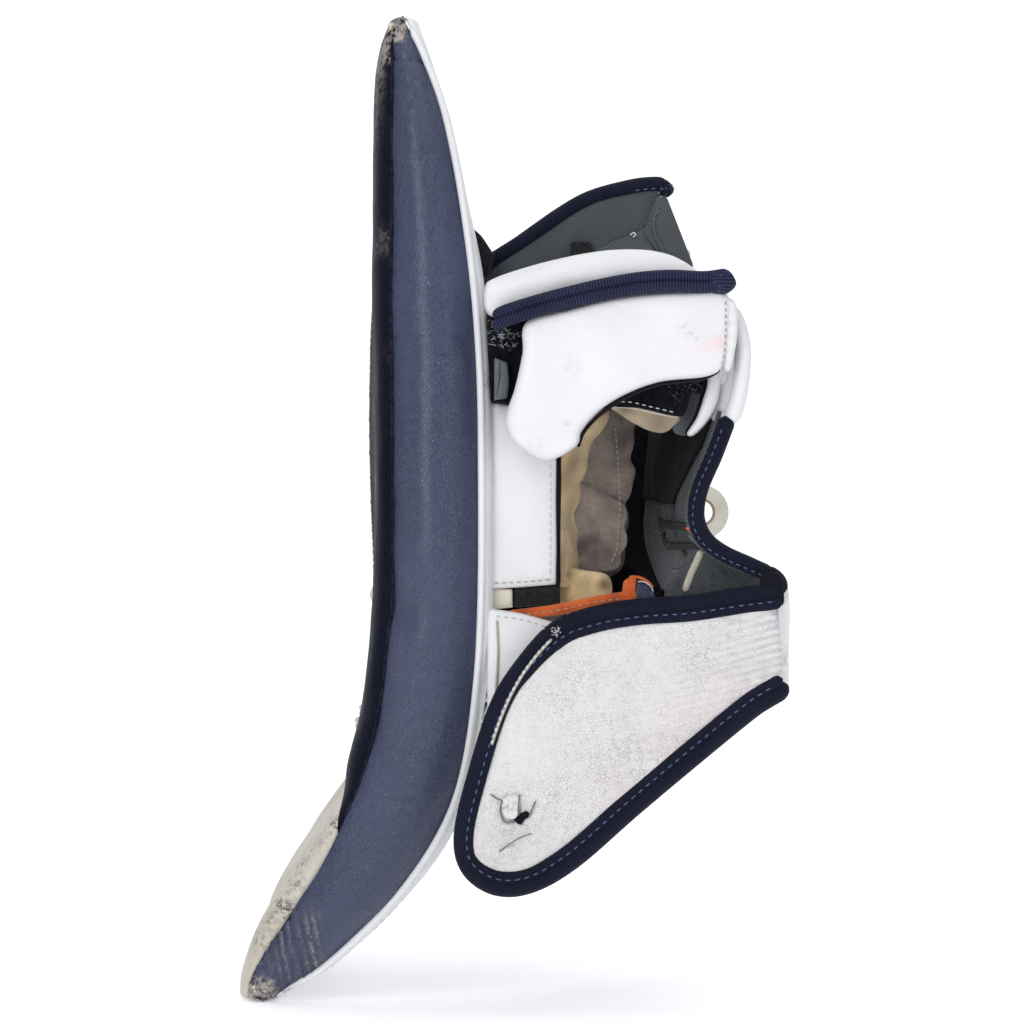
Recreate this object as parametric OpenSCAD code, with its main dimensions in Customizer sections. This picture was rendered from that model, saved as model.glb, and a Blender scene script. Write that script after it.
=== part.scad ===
// Goalie catch glove, left hand, in its wearing frame.
// +X is the back-of-hand side, +Y runs from the wrist to the fingertips and +Z is the
// little-finger side. The origin is in the middle of the hand opening, at the wrist.

/* [Board] */
// Height of the heel edge, from the cuff corner to the thumb tip
board_h = 400; // [380:5:420]
// Radius of the heel edge, seen on the catching face
heel_r = 520; // [450:10:700]
// Nearest reach of the heel edge, in front of the hand opening
heel_reach = 30; // [20:1:35]
// Depth of the curl of the catching face at the fingertips
face_curl = 14; // [4:1:20]
// Thickness of the leather skins on the board
skin_t = 2.5; // [2:0.1:3]
// Width of the white piping beside the edge band
piping_w = 3; // [2:0.5:4]

/* [Break] */
// Gap between the cuff and the finger board, half of it on each side
break_gap = 3.5; // [3:0.5:5]
// Radius of the leather roll that the break folds on
roll_r = 1.6; // [1.2:0.1:1.8]

/* [Hand] */
// Width of one finger channel
finger_w = 24; // [22:1:26]
// Depth of one finger channel
finger_deep = 96; // [80:2:100]
// Thickness of the wrap over the back of the hand
backhand_t = 3; // [2.5:0.1:3.2]
// Thickness of its lining
lining_t = 1.4; // [1:0.1:1.4]
// Outer radius of the strap ring
ring_r = 12; // [11.5:0.1:12]
// Radius of the hole in the strap ring
ring_bore_r = 5; // [4:0.5:5]

/* [Flaps] */
// Thickness of the side flap without its binding
flap_t = 9; // [7:0.5:10]
// Width of the binding round the side flap
binding_w = 8; // [6:0.5:9]
// Radius of the ribbed binding under the top pad
rib_r = 4.5; // [4:0.1:4.6]

/* [Hidden] */
$fn = 32;

// ---- profiles of the board: [height, x] of its front and its back at the heel ----
front_line = [[-204, -154], [-195, -153], [-176, -146], [-148, -131], [-123, -117],
    [-90, -107], [-57, -102], [-20, -100], [60, -100], [140, -100], [176, -99], [190, -96],
    [196, -93]];
back_line = [[-204, -140], [-198, -127], [-190, -115], [-168, -91], [-140, -70], [-115, -62],
    [-82, -56], [-50, -53], [0, -53], [45, -53], [94, -57], [123, -63], [160, -71],
    [184, -79], [196, -84]];
// Outer end of the cuff and thumb board, [height, y], up to the pocket's foot
thumb_line = [[-204, 62], [-198, 130], [-185, 178], [-165, 202], [-145, 210], [-125, 205],
    [-100, 188], [-80, 166], [-60, 144], [-52, 139]];
// Fingertip outline of the finger board, [height, y]
tip_line = [[-48, 246], [-36, 257], [-15, 269], [10, 277], [40, 279], [70, 271], [100, 253],
    [130, 224], [155, 187], [175, 140], [188, 92]];
// Outer edge of the pocket web, [height, y]
web_line = [[-136, 222], [-110, 233], [-85, 241], [-57, 247]];
thumb_split = -118;
break_y = 70;      // where the break line leaves the cuff corner
break_z = 185;
break_slope = 80 / 255;
finger_low = -48;
finger_high = 188;
web_low = -128;
web_high = -57;
band_t = 3;

// Smooth curve through the rows [key, value] of a table
function row_of(t, k, i = 0) = i >= len(t) - 2 || k < t[i + 1][0] ? i : row_of(t, k, i + 1);
function slope_at(t, i) = let(a = max(i - 1, 0), b = min(i + 1, len(t) - 1))
    (t[b][1] - t[a][1]) / (t[b][0] - t[a][0]);
function smooth_at(t, k) = let(i = row_of(t, k), w = t[i + 1][0] - t[i][0],
    s = (k - t[i][0]) / w)
    t[i][1] * (1 + 2 * s) * (1 - s) * (1 - s) + t[i + 1][1] * s * s * (3 - 2 * s)
    + w * (slope_at(t, i) * s * (1 - s) * (1 - s) - slope_at(t, i + 1) * s * s * (1 - s));

// Points of a smooth closed outline through the given corners
function knot(p, i) = p[(i + len(p)) % len(p)];
function between(a, b, c, d, s) = 0.5 * (2 * b + (c - a) * s
    + (2 * a - 5 * b + 4 * c - d) * s * s + (3 * b - a - 3 * c + d) * s * s * s);
function closed(p, n = 4) = [for (i = [0:len(p) - 1]) for (k = [0:n - 1])
    between(knot(p, i - 1), knot(p, i), knot(p, i + 1), knot(p, i + 2), k / n)];
// Points of a smooth open line through the given points
function open_line(p, n = 4) = [for (i = [0:len(p) - 2]) for (k = [0:n - 1])
    between(p[max(i - 1, 0)], p[i], p[i + 1], p[min(i + 2, len(p) - 1)], k / n),
    p[len(p) - 1]];

// ---- the board's own surface ----
function curl(y) = y < 120 ? 0 : face_curl * pow((y - 120) / 160, 2);
function thin(y) = let(s = min(max((y - 40) / 230, 0), 1)) 1 - 0.35 * s * s * (3 - 2 * s);
function front_x(y, z) = smooth_at(front_line, z) - curl(y);
function board_t(y, z) = max((smooth_at(back_line, z) - smooth_at(front_line, z)) * thin(y), 9);
// A depth is [share of the thickness, millimetres more]
function depth_x(y, z, d) = front_x(y, z) + d[0] * board_t(y, z) + d[1];
function heel_y(z) = heel_r - heel_reach - sqrt(heel_r * heel_r - z * z);
function break_line(z) = break_y + break_slope * (break_z - z);
function cuff_end(z) = z < -52 ? smooth_at(thumb_line, z) : break_line(z) - break_gap;
function steps(a, b, n) = [for (i = [0:n]) a + (b - a) * i / n];

// One leather or foam layer of a board: its heights, and its y limits at each of them.
// A hanging layer sags towards +X between its two y limits, and with ends also between
// its lowest and highest rows.
module layer(zs, lo, hi, ny, front, back, sag = 0, ends = true) {
    rows = len(zs);
    cols = ny + 1;
    function at(i, j) = lo[i] + (hi[i] - lo[i]) * j / ny;
    function hang(i, j) = sag * sin(180 * j / ny) * (ends ? sin(180 * i / (rows - 1)) : 1);
    face = [for (i = [0:rows - 1]) for (j = [0:ny])
        [depth_x(at(i, j), zs[i], front) + hang(i, j), at(i, j), zs[i]]];
    rear = [for (i = [0:rows - 1]) for (j = [0:ny])
        [depth_x(at(i, j), zs[i], back) + hang(i, j), at(i, j), zs[i]]];
    n = rows * cols;
    function id(i, j) = i * cols + j;
    rim = concat([for (j = [0:ny]) id(0, j)], [for (i = [1:rows - 1]) id(i, ny)],
        [for (j = [ny - 1:-1:0]) id(rows - 1, j)], [for (i = [rows - 2:-1:1]) id(i, 0)]);
    faces = concat(
        [for (i = [0:rows - 2]) for (j = [0:ny - 1]) [id(i, j), id(i, j + 1), id(i + 1, j)]],
        [for (i = [0:rows - 2]) for (j = [0:ny - 1])
            [id(i, j + 1), id(i + 1, j + 1), id(i + 1, j)]],
        [for (i = [0:rows - 2]) for (j = [0:ny - 1])
            [n + id(i, j), n + id(i + 1, j), n + id(i, j + 1)]],
        [for (i = [0:rows - 2]) for (j = [0:ny - 1])
            [n + id(i, j + 1), n + id(i + 1, j), n + id(i + 1, j + 1)]],
        [for (k = [0:len(rim) - 1]) [rim[k], n + rim[k], rim[(k + 1) % len(rim)]]],
        [for (k = [0:len(rim) - 1])
            [rim[(k + 1) % len(rim)], n + rim[k], n + rim[(k + 1) % len(rim)]]]);
    polyhedron(concat(face, rear), faces);
}

// Every layer of the cuff and thumb board shares these heights, so that the layers meet
board_low = -board_h / 2 - 3;
board_high = board_h / 2 - 4;
thumb_rows = steps(board_low, thumb_split, 9);
cuff_rows = steps(thumb_split, board_high, 18);
all_rows = concat(thumb_rows, [for (i = [1:len(cuff_rows) - 1]) cuff_rows[i]]);

// The cuff and thumb board over some of its heights, behind the band along the heel
module cuff_layer(zs, front, back, ny = 5)
    layer(zs, [for (z = zs) heel_y(z) + band_t], [for (z = zs) cuff_end(z)], ny, front, back);

// The finger board, tip_in short of its fingertip outline
module finger_layer(tip_in, front, back, ny = 5) {
    zs = steps(finger_low, finger_high, 14);
    layer(zs, [for (z = zs) break_line(z) + break_gap],
        [for (z = zs) smooth_at(tip_line, z) - tip_in], ny, front, back);
}

// A flat outline [x, z] that runs along Y from y0
module slab_y(y0, t) translate([0, y0 + t, 0]) rotate([90, 0, 0]) linear_extrude(t) children();

// A flat outline [y, z] that runs along X from x0
module slab_x(x0, t) translate([x0, 0, 0]) rotate([90, 0, 90]) linear_extrude(t) children();

// A round cord of soft material along a line of points
function unit(v) = v / norm(v);
module tube(p, r, sides = 8) {
    last = len(p) - 1;
    function way(i) = unit(p[min(i + 1, last)] - p[max(i - 1, 0)]);
    function side(i) = let(t = way(i), up = abs(t[1]) > 0.9 ? [1, 0, 0] : [0, 1, 0])
        unit(cross(t, up));
    pts = [for (i = [0:last]) let(u = side(i), v = cross(way(i), u))
        for (k = [0:sides - 1]) p[i] + r * (cos(360 * k / sides) * u + sin(360 * k / sides) * v)];
    faces = concat(
        [for (i = [0:last - 1]) for (k = [0:sides - 1])
            [i * sides + k, i * sides + (k + 1) % sides, (i + 1) * sides + k]],
        [for (i = [0:last - 1]) for (k = [0:sides - 1])
            [i * sides + (k + 1) % sides, (i + 1) * sides + (k + 1) % sides,
                (i + 1) * sides + k]],
        [[for (k = [sides - 1:-1:0]) k]], [[for (k = [0:sides - 1]) last * sides + k]]);
    polyhedron(pts, faces);
}

// A bent sheet between two lines of [x, z] points, at y0 and y1. It lies from `off` to
// off + t to one side of them.
module funnel(near, far, y0, y1, t, off = 0) {
    n = len(near);
    function out(p, i, d) = let(w = unit(p[min(i + 1, n - 1)] - p[max(i - 1, 0)]))
        p[i] + d * [-w[1], w[0]];
    function row(p, y, d) = [for (i = [0:n - 1]) let(q = out(p, i, d)) [q[0], y, q[1]]];
    pts = concat(row(near, y0, off), row(near, y0, off + t), row(far, y1, off),
        row(far, y1, off + t));
    quads = concat(
        [for (i = [0:n - 2]) [i, i + 1, n + i + 1, n + i]],
        [for (i = [0:n - 2]) [2 * n + i, 3 * n + i, 3 * n + i + 1, 2 * n + i + 1]],
        [for (i = [0:n - 2]) [i, 2 * n + i, 2 * n + i + 1, i + 1]],
        [for (i = [0:n - 2]) [n + i, n + i + 1, 3 * n + i + 1, 3 * n + i]],
        [[0, n, 3 * n, 2 * n], [n - 1, 3 * n - 1, 4 * n - 1, 2 * n - 1]]);
    polyhedron(pts, [for (q = quads) each [[q[0], q[1], q[2]], [q[0], q[2], q[3]]]]);
}

// ---- cuff and thumb board ----
module cuff_core() color("#3a3a3d") cuff_layer(all_rows, [0, skin_t], [1, -5]);
module cuff_stiffener() color("#1c1c1e") cuff_layer(all_rows, [1, -5], [1, -3]);
module cuff_face_skin() color("#2a2e4c") cuff_layer(cuff_rows, [0, 0], [0, skin_t]);
module thumb_face_skin() color("#cdc5b5") cuff_layer(thumb_rows, [0, 0], [0, skin_t]);
module edge_layer(front, back)
    layer(all_rows, [for (z = all_rows) heel_y(z)], [for (z = all_rows) heel_y(z) + band_t], 1,
        front, back);
module edge_band() color("#2e3254") edge_layer([0, 0], [1, -piping_w]);
module edge_piping() color("#ebebee") edge_layer([1, -piping_w], [1, 0]);
module cuff_back_skin() color("#ebebee") cuff_layer(all_rows, [1, -3], [1, 0]);

// ---- palm side of the hand compartment ----
module heel_panel() color("#ebebee")
    slab_y(-26, 5) polygon([[-52, -84], [-27, -84], [-27, -49.5], [-52, -50]]);
module cream_strip() color("#cdc5b5")
    translate([-52.5, -24, -38]) cube([2.5, 6, 78]);
module wrist_panel() color("#ebebee")
    slab_y(-20, 5) polygon([[-49, -36], [-26, -34], [-26, 32], [-49, 40]]);
module under_strap() color("#cdc5b5")
    translate([-50, -18, -43]) cube([9, 4, 6.5]);
module black_strap() color("#1c1c1e")
    translate([-40.5, -18, -43]) cube([17, 4, 6.5]);
module orange_strip() color("#cd5523")
    slab_y(-24, 3) polygon([[-48, -47.5], [-24, -47.3], [8, -40.5], [8, -36.5], [-20, -40],
        [-48, -44]]);
loop_r = 6;
module pull_loop() color("#cd5523") translate([8, -17, -37]) rotate([90, 0, 0])
    difference() {
        cylinder(r = loop_r, h = 4, center = true);
        cylinder(r = loop_r - 2, h = 5, center = true);
    }
palm_near = [[-26, 36], [-26, 12], [-26, -12], [-26, -34]];
palm_far = [[-18, 42], [-18, 14], [-18, -14], [-18, -38]];
module palm_liner() color("#af966e") funnel(palm_near, palm_far, -13, 92, 3);
suede_near = [[-21.5, 34], [-21.5, 12], [-21.5, -12], [-21.5, -32]];
suede_far = [[-13.5, 40], [-13.5, 14], [-13.5, -14], [-13.5, -36]];
module palm_suede() color("#786c62") funnel(suede_near, suede_far, -9, 90, 3);
module palm_pad() color("#1c1c1e") translate([-52, -12, -34]) cube([24.5, 100, 68]);
module webbing_tie() color("#1c1c1e")
    slab_y(2, 3) polygon([[-60, 114], [-49, 97], [-49, 92], [-56, 93]]);
module gap_felt() color("#1c1c1e") translate([-50, -22, 43]) cube([11, 60, 27]);
module grey_clip() color("#8a9096") translate([-51, -28, 43]) cube([6, 5.5, 18]);

// ---- thumb ----
thumb_dir = 25;    // lean of the thumb stall away from the fingers
thumb_l = 92;
module thumb_at() translate([-33, 62, -62]) rotate([-90 - thumb_dir, 0, 0]) children();
module thumb_stall() color("#786c62") thumb_at() difference() {
    cylinder(r = 20, h = thumb_l);
    translate([0, 0, -1]) cylinder(r = 14, h = thumb_l - 6);
}
module thumb_back_pad() color("#ebebee") thumb_at() translate([21, -18, 16])
    cube([8, 36, thumb_l - 22]);

// ---- back of the hand ----
back_near = open_line([[43, 36], [38, 20], [33, 6], [30.5, -4], [32, -14], [38, -21],
    [49, -26], [60, -29]], 2);
back_far = open_line([[22, 44], [18, 30], [16, 14], [15, 0], [15, -14], [17, -26],
    [22, -38], [30, -46]], 2);
module backhand_pad() color("#dfe0e6")
    funnel(back_near, back_far, -26, 118, backhand_t, lining_t);
module backhand_lining() color("#4b5258") funnel(back_near, back_far, -26, 118, lining_t);
binding_path = open_line([[45.5, -31, 37], [40.5, -31, 20], [35.5, -31, 6], [33, -31, -4],
    [34.5, -31, -14], [40.5, -31, -20.5], [51.5, -31, -25.5], [62, -31, -29]], 3);
module backhand_binding() color("#1e213f") tube(binding_path, 4);
module lining_patch() color("#4b5258") translate([22.2, 30, -24]) rotate([0, 0, 6.6])
    cube([1.5, 40, 24]);
// The ring stands across Y behind the wrap; its tab passes through a slot beside its hole
ring_at = [38.7, 90, -5];
slot_in = 6.4;     // near edge of the slot, from the ring's centre
slot_out = 10;     // far edge of the slot
module ring_tab() color("#1c1c1e") translate(ring_at) difference() {
    translate([-15.6, -4.6, -3.5]) cube([7.8, 9.2, 7]);
    translate([-12.8, -3.4, -4.5]) cube([3.8, 6.8, 9]);
}
module strap_ring() color("#e1decd") translate(ring_at) difference() {
    rotate([90, 0, 0]) cylinder(r = ring_r, h = 3, center = true);
    rotate([90, 0, 0]) cylinder(r = ring_bore_r, h = 5, center = true);
    translate([-slot_out, -3, -4]) cube([slot_out - slot_in, 6, 8]);
}

// ---- little-finger side guards ----
module white_roll() color("#ebebee")
    tube(open_line([[50, -31, 80], [53, -31, 68], [53, -31, 56], [51, -31, 46]], 3), 4);
module guard_side() color("#ebebee") translate([38, -26, 47]) cube([6, 40, 33]);
module inner_guard() color("#ebebee")
    slab_y(-26, 5) polygon(closed([[27, 45], [34, 45], [38, 42], [37, 35], [32, 28], [28, 32]]));
module grey_band() color("#5a6064")
    slab_y(-20, 2.5) polygon([[27, 46], [36, 46], [32, 30], [27.5, 30]]);
module felt_wall() color("#1c1c1e") translate([-20, -22, 46.5]) cube([56, 112, 5]);
module guard_core() color("#1c1c1e") translate([-38, -34, 52.5]) cube([75, 46, 23]);
module suede_tab() color("#786c62") slab_y(-22, 6) polygon([[-4, 46], [24, 46], [25.5, 31], [2, 36]]);
module guard_top_pad() color("#ebebee") slab_y(-40, 55)
    polygon(closed([[-51, 84], [-40, 91], [-18, 98], [2, 102], [20, 100], [33, 92], [34, 85],
        [10, 82], [-20, 79], [-44, 76]]));
rib_path = open_line([[-50, -46, 74], [-44, -46, 78], [-24, -46, 82.5], [0, -46, 87],
    [18, -46, 89], [34, -46, 88.5], [46, -46, 90.5]], 4);
module guard_top_binding() color("#1e213f") tube(rib_path, rib_r);
lobe_outline = closed([[-38, 71], [-20, 76], [0, 80.5], [24, 82], [43, 82], [44, 66],
    [41, 54], [34, 50], [16, 48], [2, 43], [-9, 36], [-16, 28], [-18, 22], [-30, 16],
    [-42, 22], [-47, 32], [-43, 46], [-40, 60]], 3);
module guard_lobe() color("#ebebee") slab_y(-47, 9) polygon(lobe_outline);
module lobe_backing() color("#1c1c1e") slab_y(-38, 2) polygon(lobe_outline);

// ---- upper flap ----
module flap_sheet(y0, t) slab_y(y0, t)
    polygon([[-54, 92], [-54, 97], [-40, 106], [-23, 117], [-11, 124], [6, 130], [21, 131],
        [17, 123], [32, 104], [33, 92]]);
module upper_flap_lining() color("#4b5258") flap_sheet(20, 2);
module upper_flap_shell() color("#2a2e4c") flap_sheet(22, 4);
module upper_flap_binding() color("#1e213f")
    tube(open_line([[-53.5, 23, 101], [-41, 23, 109], [-24, 23, 120], [-12, 23, 127],
        [5, 23, 133.5], [21, 23, 134.5]], 2), 2.6);
module flap_gusset() color("#4b5258")
    slab_y(26.5, 2) polygon([[18, 128], [22, 122], [34, 96], [24, 96]]);
module flap_loop() color("#1c1c1e") translate([-18, 15.3, 106]) difference() {
    cube([9, 4.5, 8]);
    translate([-1, 1.2, 1.2]) cube([11, 2.4, 5.6]);
}

// ---- side flap ----
side_outline = closed([[62, -36], [48, -38], [28, -41], [8, -42], [-10, -45], [-28, -52],
    [-42, -67], [-52, -84], [-61, -112], [-67, -137], [-64, -153], [-52, -161], [-36, -161],
    [-16, -152], [10, -132], [34, -112], [56, -92], [66, -84], [68, -62]], 3);
flap_y = -41;
module side_inner() offset(delta = -binding_w) polygon(side_outline);
module side_flap_skin() color("#e4e2df") slab_y(flap_y, 2) side_inner();
module side_flap_core() color("#e4e2df") slab_y(flap_y + 2, flap_t - 3) side_inner();
module side_flap_backing() color("#1e213f") slab_y(flap_y + flap_t - 1, 1) side_inner();
module side_flap_binding() color("#1e213f") slab_y(flap_y - 0.5, flap_t + 1) difference() {
    polygon(side_outline);
    side_inner();
}

// ---- finger board ----
module finger_core() color("#3a3a3d") finger_layer(band_t, [0, skin_t], [1, -3]);
module finger_face_skin() color("#2a2e4c") finger_layer(band_t, [0, 0], [0, skin_t]);
module finger_back_skin() color("#ebebee") finger_layer(band_t, [1, -3], [1, 0]);
module finger_edge_band() color("#2e3254") {
    zs = steps(finger_low, finger_high, 28);
    layer(zs, [for (z = zs) smooth_at(tip_line, z) - band_t],
        [for (z = zs) smooth_at(tip_line, z)], 1, [0, 0], [1, 0]);
}
stall_x = -58.6;
stall_y = 142;
stall_lean = 9.6;  // the stalls follow the thinning back of the board
stall_z = -36;
stall_wall = 2.5;
module on_stalls() translate([stall_x, stall_y, stall_z]) rotate([0, 0, stall_lean]) children();
module finger_stalls() color("#786c62") on_stalls() difference() {
    cube([27, finger_deep + stall_wall, 4 * finger_w + 5 * stall_wall]);
    for (i = [0:3])
        translate([stall_wall, -1, stall_wall + i * (finger_w + stall_wall)])
            cube([22, finger_deep + 1, finger_w]);
}
module finger_back_pad() color("#ebebee") on_stalls() translate([27.3, 4, 4])
    cube([12, finger_deep - 8, 4 * finger_w]);
module break_roll() color("#2a2e4c")
    tube([[-101, break_line(178), 178], [-101, break_line(60), 60], [-101, break_line(-46), -46]],
        roll_r);

// ---- pocket ----
function web_foot(z) = smooth_at(thumb_line, z) + 8;
bar_w = 9;
net_sag = 50;
module pocket_net() color("#ebebee") {
    zs = steps(web_low, web_high, 12);
    layer(zs, [for (z = zs) web_foot(z)], [for (z = zs) smooth_at(web_line, z) - bar_w - 0.4], 8,
        [0, 14], [0, 19], net_sag);
}
module t_bar() color("#2a2e4c") {
    zs = steps(web_low, web_high, 12);
    layer(zs, [for (z = zs) smooth_at(web_line, z) - bar_w], [for (z = zs) smooth_at(web_line, z)],
        1, [0, 4], [0, 26]);
}
module t_spine() color("#2a2e4c") {
    zs = steps(-98, -87, 3);
    layer(zs, [for (z = zs) web_foot(z)], [for (z = zs) smooth_at(web_line, z) - bar_w - 0.4], 8,
        [0, 3], [0, 11], net_sag, false);
}

cuff_core();
cuff_stiffener();
cuff_face_skin();
thumb_face_skin();
edge_band();
edge_piping();
cuff_back_skin();
heel_panel();
cream_strip();
thumb_stall();
thumb_back_pad();
palm_liner();
palm_suede();
wrist_panel();
under_strap();
black_strap();
orange_strip();
pull_loop();
webbing_tie();
backhand_pad();
backhand_lining();
backhand_binding();
lining_patch();
ring_tab();
strap_ring();
white_roll();
guard_side();
inner_guard();
grey_band();
felt_wall();
suede_tab();
gap_felt();
grey_clip();
guard_top_pad();
guard_top_binding();
guard_lobe();
lobe_backing();
upper_flap_shell();
upper_flap_lining();
upper_flap_binding();
flap_gusset();
flap_loop();
side_flap_core();
side_flap_skin();
side_flap_backing();
side_flap_binding();
finger_core();
finger_face_skin();
finger_back_skin();
finger_edge_band();
finger_stalls();
finger_back_pad();
break_roll();
pocket_net();
t_spine();
t_bar();
palm_pad();
guard_core();
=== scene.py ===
"""Looks of the goalie catch glove: leather, bindings, linings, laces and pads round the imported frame.

Lengths are in millimetres until mesh_piece() turns them into metres. +X is the back-of-hand side,
+Y runs to the fingertips and +Z is the little-finger side.
"""
import math

import bmesh
import bpy
import numpy as np
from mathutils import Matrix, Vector
from mathutils.geometry import delaunay_2d_cdt


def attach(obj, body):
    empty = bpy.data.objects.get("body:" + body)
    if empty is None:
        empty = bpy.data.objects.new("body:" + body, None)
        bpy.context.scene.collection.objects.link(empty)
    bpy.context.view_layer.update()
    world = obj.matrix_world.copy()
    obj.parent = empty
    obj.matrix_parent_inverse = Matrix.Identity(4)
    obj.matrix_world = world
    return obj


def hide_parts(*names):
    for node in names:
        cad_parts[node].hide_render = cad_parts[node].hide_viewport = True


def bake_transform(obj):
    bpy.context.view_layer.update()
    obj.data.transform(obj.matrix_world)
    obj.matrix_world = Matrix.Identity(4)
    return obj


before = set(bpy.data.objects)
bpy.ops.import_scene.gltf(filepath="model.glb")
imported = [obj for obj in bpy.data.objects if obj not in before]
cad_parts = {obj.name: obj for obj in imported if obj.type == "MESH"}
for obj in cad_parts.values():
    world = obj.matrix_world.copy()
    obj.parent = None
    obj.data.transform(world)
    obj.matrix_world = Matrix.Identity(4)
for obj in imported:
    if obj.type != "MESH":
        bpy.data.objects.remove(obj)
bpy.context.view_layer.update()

MM = 0.001

# ---------------------------------------------------------------- camera, floor and light
FLOOR_Z = -210.5
VIEW_X = -44.3           # what the middle of the picture looks at
VIEW_Z = -4.9
VIEW_WIDTH = 419.8       # width seen at the heel of the glove
VIEW_Y = -30.0
CAMERA_AWAY = 1700.0
SENSOR = 36.0
LIGHTS = (               # name, place and size in metres, watts
    ("key", (-0.85, -1.9, 0.55), (0.7, 2.6), 25),
    ("fill", (1.7, -1.7, 0.4), (1.6, 1.6), 8),
    ("top", (0.1, 0.2, 2.2), (2.4, 2.4), 22),
)
SKY_COLOUR = (0.93, 0.95, 1.0, 1)
SKY_STRENGTH = 0.42


def make_camera():
    data = bpy.data.cameras.new("camera")
    data.sensor_width = SENSOR
    data.lens = SENSOR * CAMERA_AWAY / VIEW_WIDTH
    data.clip_start, data.clip_end = 0.05, 20.0
    camera = bpy.data.objects.new("camera", data)
    camera.location = (VIEW_X * MM, (VIEW_Y - CAMERA_AWAY) * MM, VIEW_Z * MM)
    camera.rotation_euler = (math.radians(90), 0, 0)
    bpy.context.scene.collection.objects.link(camera)
    bpy.context.scene.camera = camera


def area_light(name, at, aim, size, watts):
    data = bpy.data.lights.new(name, "AREA")
    data.shape = "RECTANGLE"
    data.size, data.size_y = size
    data.energy = watts
    light = bpy.data.objects.new(name, data)
    light.location = at
    light.rotation_euler = (Vector(aim) - Vector(at)).to_track_quat("-Z", "Y").to_euler()
    bpy.context.scene.collection.objects.link(light)


def make_lights():
    for name, at, size, watts in LIGHTS:
        area_light(name, at, (0, 0, 0), size, watts)
    world = bpy.data.worlds.new("studio")
    world.use_nodes = True
    background = world.node_tree.nodes["Background"]
    background.inputs["Color"].default_value = SKY_COLOUR
    background.inputs["Strength"].default_value = SKY_STRENGTH
    bpy.context.scene.world = world
    bpy.context.scene.view_settings.view_transform = "Standard"


make_camera()
make_lights()


# ---------------------------------------------------------------- curves
def row_of(table, key):
    """The row of a sorted table that key falls after."""
    i = 0
    while i < len(table) - 2 and key >= table[i + 1][0]:
        i += 1
    return i


def slope_at(table, i):
    a, b = max(i - 1, 0), min(i + 1, len(table) - 1)
    return (table[b][1] - table[a][1]) / (table[b][0] - table[a][0])


def smooth_at(table, key):
    """Smooth curve through the rows [key, value] of a table."""
    i = row_of(table, key)
    width = table[i + 1][0] - table[i][0]
    s = (key - table[i][0]) / width
    low, high = table[i][1], table[i + 1][1]
    bend = width * (slope_at(table, i) * s * (1 - s) ** 2 - slope_at(table, i + 1) * s * s * (1 - s))
    return low * (1 + 2 * s) * (1 - s) ** 2 + high * s * s * (3 - 2 * s) + bend


def between(a, b, c, d, s):
    return (0.5 * (2 * b + (c - a) * s + (2 * a - 5 * b + 4 * c - d) * s ** 2
        + (3 * b - a - 3 * c + d) * s ** 3))


def smooth_line(points, n=8, closed=False):
    """A smooth line through the points, n steps to each span."""
    p = [np.array(q, float) for q in points]
    count = len(p)
    out = []
    for i in range(count if closed else count - 1):
        if closed:
            a, b, c, d = (p[(i + k) % count] for k in (-1, 0, 1, 2))
        else:
            a, b, c, d = p[max(i - 1, 0)], p[i], p[i + 1], p[min(i + 2, count - 1)]
        out += [between(a, b, c, d, k / n) for k in range(n)]
    if not closed:
        out.append(p[-1])
    return np.array(out)


def lengths(points):
    steps = np.linalg.norm(np.diff(points, axis=0), axis=1)
    return np.concatenate([[0], np.cumsum(steps)])


def evenly(points, step, closed=False):
    """The same line with points an even step apart."""
    line = np.vstack([points, points[:1]]) if closed else points
    along = lengths(line)
    count = max(int(round(along[-1] / step)), 3)
    at = np.linspace(0, along[-1], count + 1)
    if closed:
        at = at[:-1]
    return np.stack([np.interp(at, along, line[:, k]) for k in range(line.shape[1])], axis=1)


def ripple(x, y, z, size, seed):
    """A smooth random-looking value from -1 to 1 with bumps about size across."""
    rng = np.random.default_rng(seed)
    total = 0.0
    for _ in range(6):
        way = rng.normal(size=3)
        way = way / np.linalg.norm(way) * 2 * math.pi / size * rng.uniform(0.6, 1.5)
        total = total + np.sin(x * way[0] + y * way[1] + z * way[2] + rng.uniform(0, 6.28))
    return total / 4.0


def grid_ripple(points, size, seed, squash=(1.0, 1.0, 1.0)):
    """ripple() at rows or a grid of points, with each axis squashed."""
    x, y, z = np.moveaxis(points * squash, -1, 0)
    return ripple(x, y, z, size, seed)


# ---------------------------------------------------------------- pieces
def mark(mesh, name, values):
    """Gives each point of a mesh a number for its material to read."""
    layer = mesh.attributes.new(name, "FLOAT", "POINT")
    layer.data.foreach_set("value", np.asarray(values, np.float32))


def mesh_piece(name, points, faces, material, body, replaces=(), slot=None, uv=None, wear=None):
    """A mesh from points in millimetres, on a body, in place of the CAD nodes that it replaces."""
    mesh = bpy.data.meshes.new(name)
    mesh.from_pydata([tuple(float(v) * MM for v in p) for p in points], [],
        [tuple(map(int, f)) for f in faces])
    shape = bmesh.new()
    shape.from_mesh(mesh)
    bmesh.ops.recalc_face_normals(shape, faces=shape.faces)
    shape.to_mesh(mesh)
    shape.free()
    mesh.update()
    if uv is not None:
        layer = mesh.uv_layers.new(name="along")
        index = np.zeros(len(mesh.loops), int)
        mesh.loops.foreach_get("vertex_index", index)
        layer.data.foreach_set("uv", (np.asarray(uv, float)[index] * MM).astype(np.float32).ravel())
    if wear is not None:
        mark(mesh, "wear", wear)
    mesh.polygons.foreach_set("use_smooth", [True] * len(mesh.polygons))
    mesh.materials.append(material)
    piece = bpy.data.objects.new(name, mesh)
    bpy.context.scene.collection.objects.link(piece)
    if body:
        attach(piece, body)
    if replaces:
        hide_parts(*replaces)
    return piece


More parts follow.
